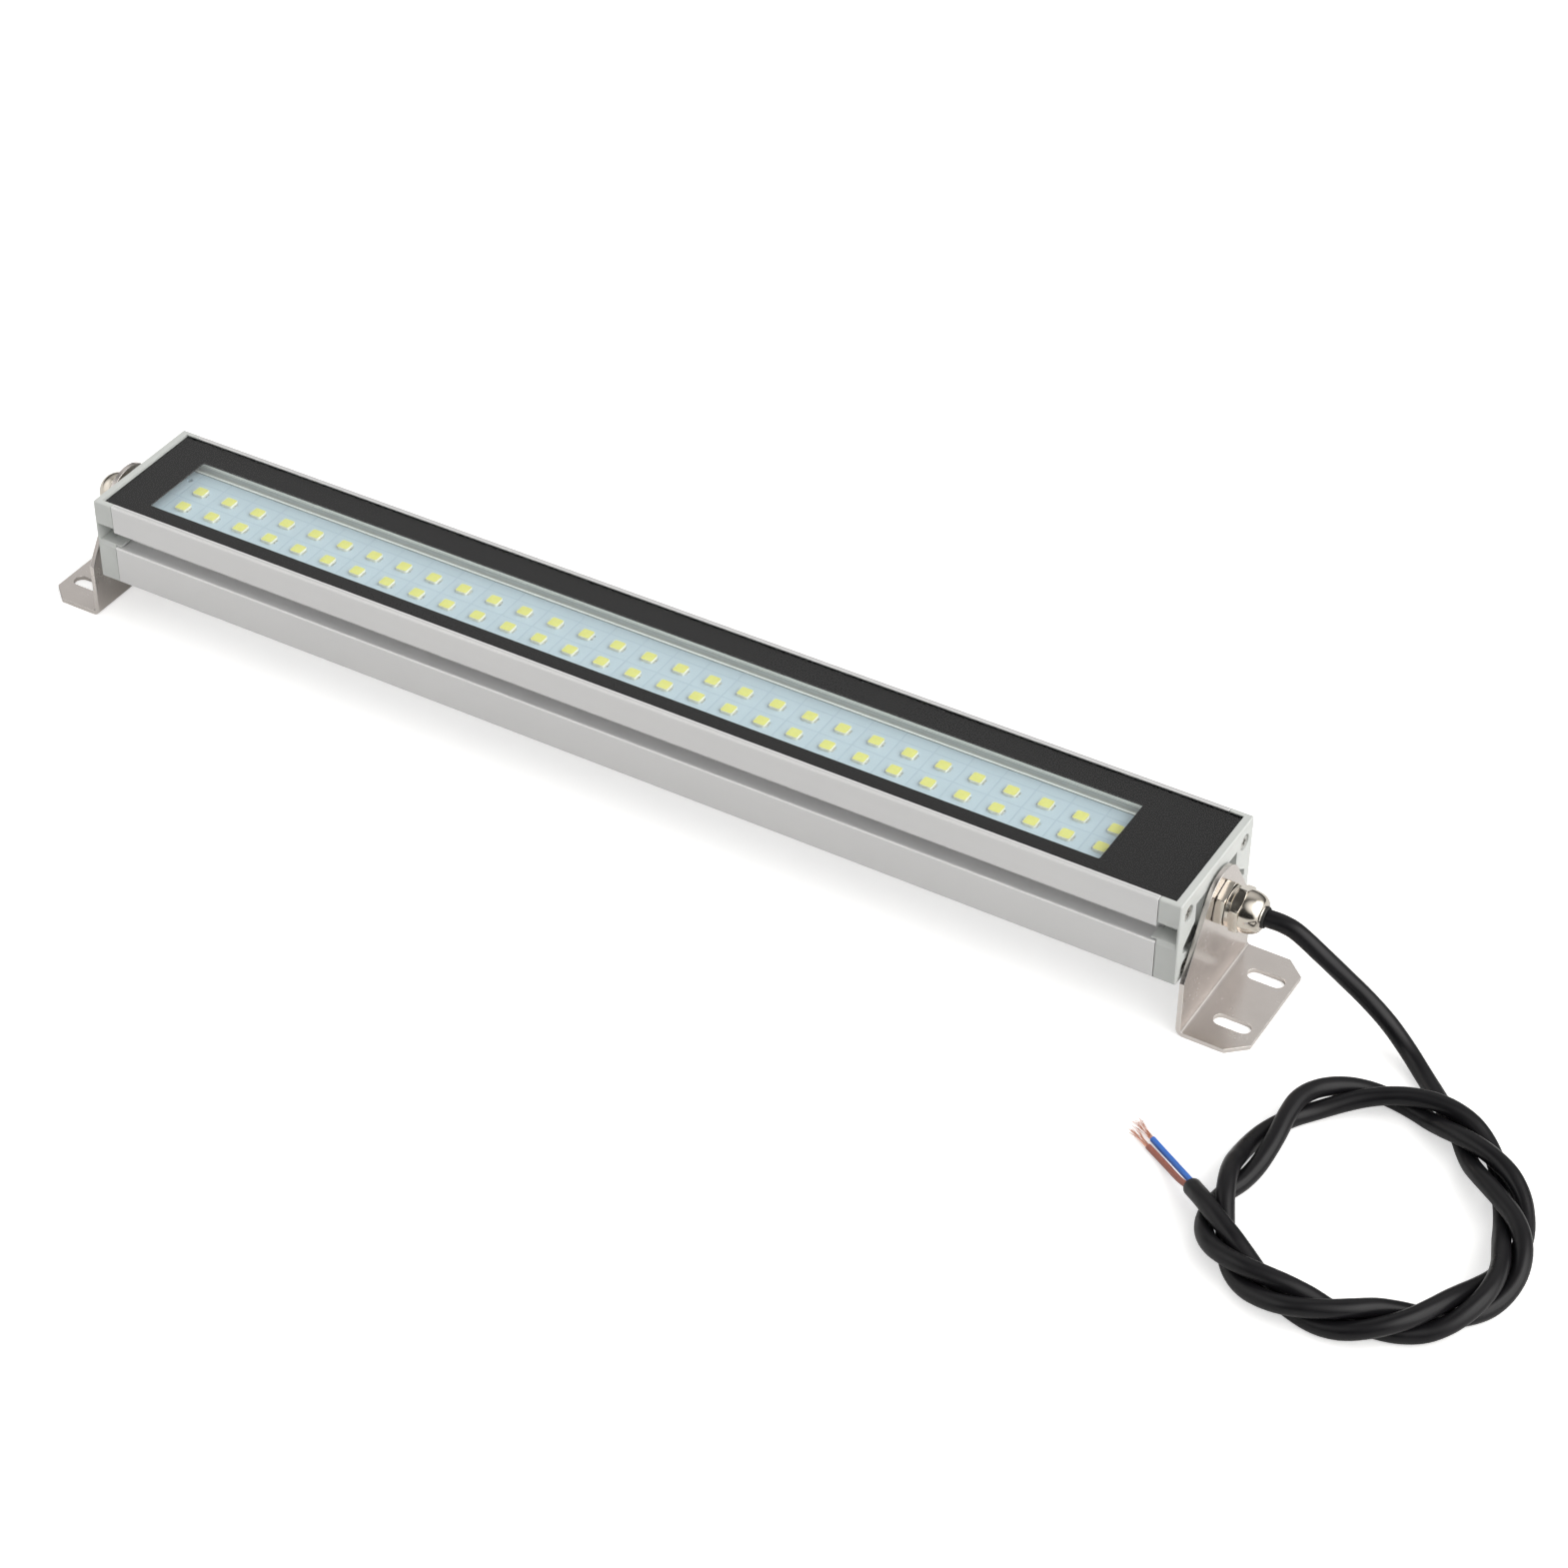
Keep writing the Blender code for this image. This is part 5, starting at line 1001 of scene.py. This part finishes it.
for side, way in (("left", -1), ("right", 1)):
    softened("end_cap_" + side, "cap_moulding_" + side, 0.00022, cap_look, "moulded_cap",
             room=notch_room("end_cap_" + side, way))
    softened("end_seal_" + side, "cap_seal_ring_" + side, 0.00015, rubber_look, "black_rubber")
    for place in ("top_rear", "top_front", "low_rear", "low_front"):
        node = "cap_screw_" + side + "_" + place
        softened(node, node + "_plated", 0.00012, screw_look, "zinc_screw")
print("caps, seals and screws are dressed")

# %% [markdown]
# ## Swivelling feet
# Each foot is one piece of stainless sheet, two millimetres thick, punched and then bent
# up. Punching leaves slightly round edges that catch the light as thin bright lines, so
# the measured feet get a narrow bevel and a fine brushed grain.

# %% The feet
for side in ("left", "right"):
    # The steel finish also paints a highlight along the sheet's edges.
    softened("bracket_" + side, "foot_sheet_" + side, 0.00030, steel_look, "stainless_sheet", 3)
print("feet are dressed")

# %% [markdown]
# ## Turned and six-sided fittings
# A nut is a turned bar that was milled to six flats. Its surface is a function of the
# distance along the axis and the angle round it: the radius is the smaller of the turned
# profile and the distance to the nearest flat. That gives the curved edge where a chamfer
# meets the flats, exactly as on a real nut.

# %% A turned piece with flats
ACROSS_FLATS = 0.0170
AXIS_HEIGHT = 0.0454
LAMP_MIDDLE = 0.0025
TURN_STEPS = 180


def fitting(name, profile, look, slot, node, turn=0.0, way=1):
    """Radius at x and angle a = min(turned radius, flat / cos(a - nearest flat)).

    The profile lists (x, radius), with a third value of 1 where the flats cut the bar.
    It goes from the bore over the outside and back, so the piece is one closed ring.
    """
    profile = np.array([(*station, 0)[:3] for station in profile], float)
    angle = np.linspace(0, math.tau, TURN_STEPS, endpoint=False)
    nearest = (angle - turn + math.pi / 6) % (math.pi / 3) - math.pi / 6
    flats = ACROSS_FLATS / 2 / np.cos(nearest)
    radius = np.where(profile[:, 2:] > 0.5, np.minimum(profile[:, 1:2], flats[None]), profile[:, 1:2])
    x = np.repeat(LAMP_MIDDLE + way * profile[:, :1], TURN_STEPS, 1)
    grid = np.stack([x, radius * np.cos(angle), AXIS_HEIGHT + radius * np.sin(angle)], -1)
    faces = grid_faces(len(profile), TURN_STEPS, round_rows=True)[:, ::way]
    piece = put_piece(name, grid, faces.tolist(), look, slot, 25)
    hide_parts(node)


def along(start, end, first, last, six=0, steps=12, bulge=False):
    """Stations from one radius to another, straight or bulging out on a quarter circle."""
    share = np.linspace(0, 1, steps)
    if bulge:
        x = start + (end - start) * np.sin(share * math.pi / 2)
        radius = last + (first - last) * np.cos(share * math.pi / 2)
    else:
        x = start + (end - start) * share
        radius = first + (last - first) * share
    return [(a, r, six) for a, r in zip(x, radius)]


def six_sides(start, end, chamfer=0.0007):
    """A nut blank: flats with a turned chamfer at each end, starting and ending round."""
    corner = ACROSS_FLATS / 2 / math.cos(math.pi / 6)
    rise = chamfer * 0.55
    shoulder, face = corner - chamfer * 1.4, corner - chamfer * 1.6
    opening = along(start + 0.00005, start + rise, shoulder, corner, 1, 5)
    closing = along(end - rise, end - 0.00005, corner, shoulder, 1, 5)
    return [(start, face, 1)] + opening + closing + [(end, face, 1)]


print("a hexagon's stations:", len(six_sides(0.0, 0.004)))

# %% [markdown]
# The gland is a body that screws through the foot and the cap, and a dome nut that presses
# a rubber sleeve onto the cord. Each profile starts at the bore, runs over the outside from
# the lamp towards the cord and comes back to the bore at its far end.

# %% The cable gland
BORE, THREAD = CORD_DIAMETER / 2 + 0.0002, 0.0060
THREAD_START, THREAD_FULL, THREAD_TIP = 0.24505, 0.24535, 0.0057
BODY_START, DOME_START, DOME_END, SLEEVE_END = 0.2573, 0.2612, 0.2745, 0.2755
thread = [(THREAD_START, THREAD_TIP), (THREAD_FULL, THREAD)]
body_profile = [(THREAD_START, BORE)] + thread + [(BODY_START - 0.0001, THREAD)]
body_profile += six_sides(BODY_START, BODY_START + 0.0036, 0.0005)
body_profile += [(BODY_START + 0.0036, 0.0059), (BODY_START + 0.0081, 0.0059), (BODY_START + 0.0081, BORE)]
fitting("gland_body_plated", body_profile, *NICKEL, "gland_body", math.radians(46.6))

collar_end = DOME_START + 0.0020
hex_end = collar_end + 0.0038
dome_profile = [(DOME_START, 0.0062), (DOME_START, 0.0081)]
dome_profile += along(DOME_START, DOME_START + 0.0003, 0.0082, 0.0085, 0, 4, True)
dome_profile += [(collar_end - 0.0004, 0.0085), (collar_end - 0.0002, 0.0082), (collar_end, 0.0082)]
dome_profile += six_sides(collar_end + 0.00005, hex_end)
dome_profile += along(hex_end + 0.00005, hex_end + 0.0002, 0.0084, 0.0086, 0, 3)
dome_profile += along(hex_end + 0.0004, DOME_END - 0.0003, 0.0086, 0.0052, 0, 26, True)
dome_profile += along(DOME_END - 0.0003, DOME_END, 0.0052, 0.0048, 0, 5)[1:]
dome_profile += [(DOME_END, 0.0045), (DOME_END - 0.0003, 0.0044), (DOME_END - 0.0047, 0.0044),
                 (DOME_END - 0.0047, 0.0062)]
fitting("gland_dome_plated", dome_profile, *NICKEL, "gland_dome_nut", math.radians(2))

sleeve_profile = [(BODY_START + 0.0084, BORE), (BODY_START + 0.0084, 0.0059), (DOME_END - 0.0050, 0.0059),
                  (DOME_END - 0.0050, 0.0043)]
sleeve_profile += along(SLEEVE_END - 0.0004, SLEEVE_END, 0.0043, 0.0040, 0, 5, True)
sleeve_profile += [(SLEEVE_END, BORE)]
fitting("gland_sleeve_rubber", sleeve_profile, rubber_look, "black_rubber", "gland_seal_sleeve")
softened("gland_washer", "gland_washer_ring", 0.00012, rubber_look, "black_rubber")
softened("gland_locknut", "gland_locknut_plated", 0.0002, *NICKEL)
print("gland pieces are turned")

# %% [markdown]
# ## The blind fitting
# At the other end nothing passes through, so a threaded spacer carries the foot and a
# closed dome nut holds it. The dome is a quarter circle that stops two tenths of a
# millimetre short of the axis, because every fitting here is a ring round it.

# %% The blind fitting on the left
LEFT_SPACER, LEFT_NUT, BLIND_HEX, AT_AXIS = 0.2542, 0.2623, 0.0043, 0.0002
spacer_profile = [(THREAD_START, AT_AXIS)] + thread + [(LEFT_SPACER - 0.0001, THREAD)]
spacer_profile += six_sides(LEFT_SPACER, LEFT_SPACER + 0.0055)
spacer_profile += [(LEFT_SPACER + 0.0055, THREAD), (LEFT_NUT + 0.0062, THREAD),
                   (LEFT_NUT + 0.0065, THREAD_TIP), (LEFT_NUT + 0.0065, AT_AXIS)]
fitting("spacer_plated_left", spacer_profile, *NICKEL, "swivel_spacer_left", math.radians(18), -1)

dome_base = LEFT_NUT + BLIND_HEX
blind_profile = [(LEFT_NUT, 0.0063)]
blind_profile += six_sides(LEFT_NUT, dome_base)
blind_profile += along(dome_base + 0.0002, dome_base + 0.0085, 0.0085, AT_AXIS, 0, 26, True)
blind_profile += [(LEFT_NUT + 0.0075, AT_AXIS), (LEFT_NUT + 0.0075, 0.0063)]
fitting("dome_nut_plated_left", blind_profile, *NICKEL, "blind_dome_nut_left", math.radians(28), -1)
softened("swivel_locknut_left", "locknut_plated_left", 0.0002, *NICKEL)
print("blind fitting is turned")

# %% [markdown]
# ## The driver in the lower chamber
# The parts that feed the LEDs lie inside the profile and aren't seen from outside. They
# keep their measured shapes and get plain, honest finishes of their own.

# %% Finishes and pieces inside
laminate_look = plastic_finish("green_laminate", (0.02, 0.12, 0.05), (0.03, 0.18, 0.08), 0.38, 2500)
can_look = plastic_finish("dark_capacitor_sleeve", (0.010, 0.010, 0.018), (0.020, 0.020, 0.032), 0.30)
choke_look = metal_finish("wound_choke_copper", (0.30, 0.12, 0.06), (0.55, 0.26, 0.14), 0.30, 0.50,
                          (60, 60, 3500), 0.0001)
softened("driver_tray", "tray_film", 0.00015, film_look, "insulating_film")
softened("driver_board", "driver_laminate_board", 0.00008, laminate_look, "driver_laminate")
softened("driver_capacitor", "capacitor_can", 0.0002, can_look, "capacitor_sleeve")
softened("driver_choke", "choke_bobbin", 0.0003, choke_look, "ferrite_and_copper")
softened("driver_terminal", "terminal_block", 0.0002, terminal_look, "terminal_plastic")
kept_looks = {"feed_wire_brown": brown_look, "feed_wire_blue": blue_look, "board_wire_red": red_look,
              "board_wire_black": black_look, "cord_inlet": jacket_look}
for node, look in kept_looks.items():
    nodes[node].data.materials.clear()
    nodes[node].data.materials.append(look)
print("inner pieces dressed:", 5 + len(kept_looks))
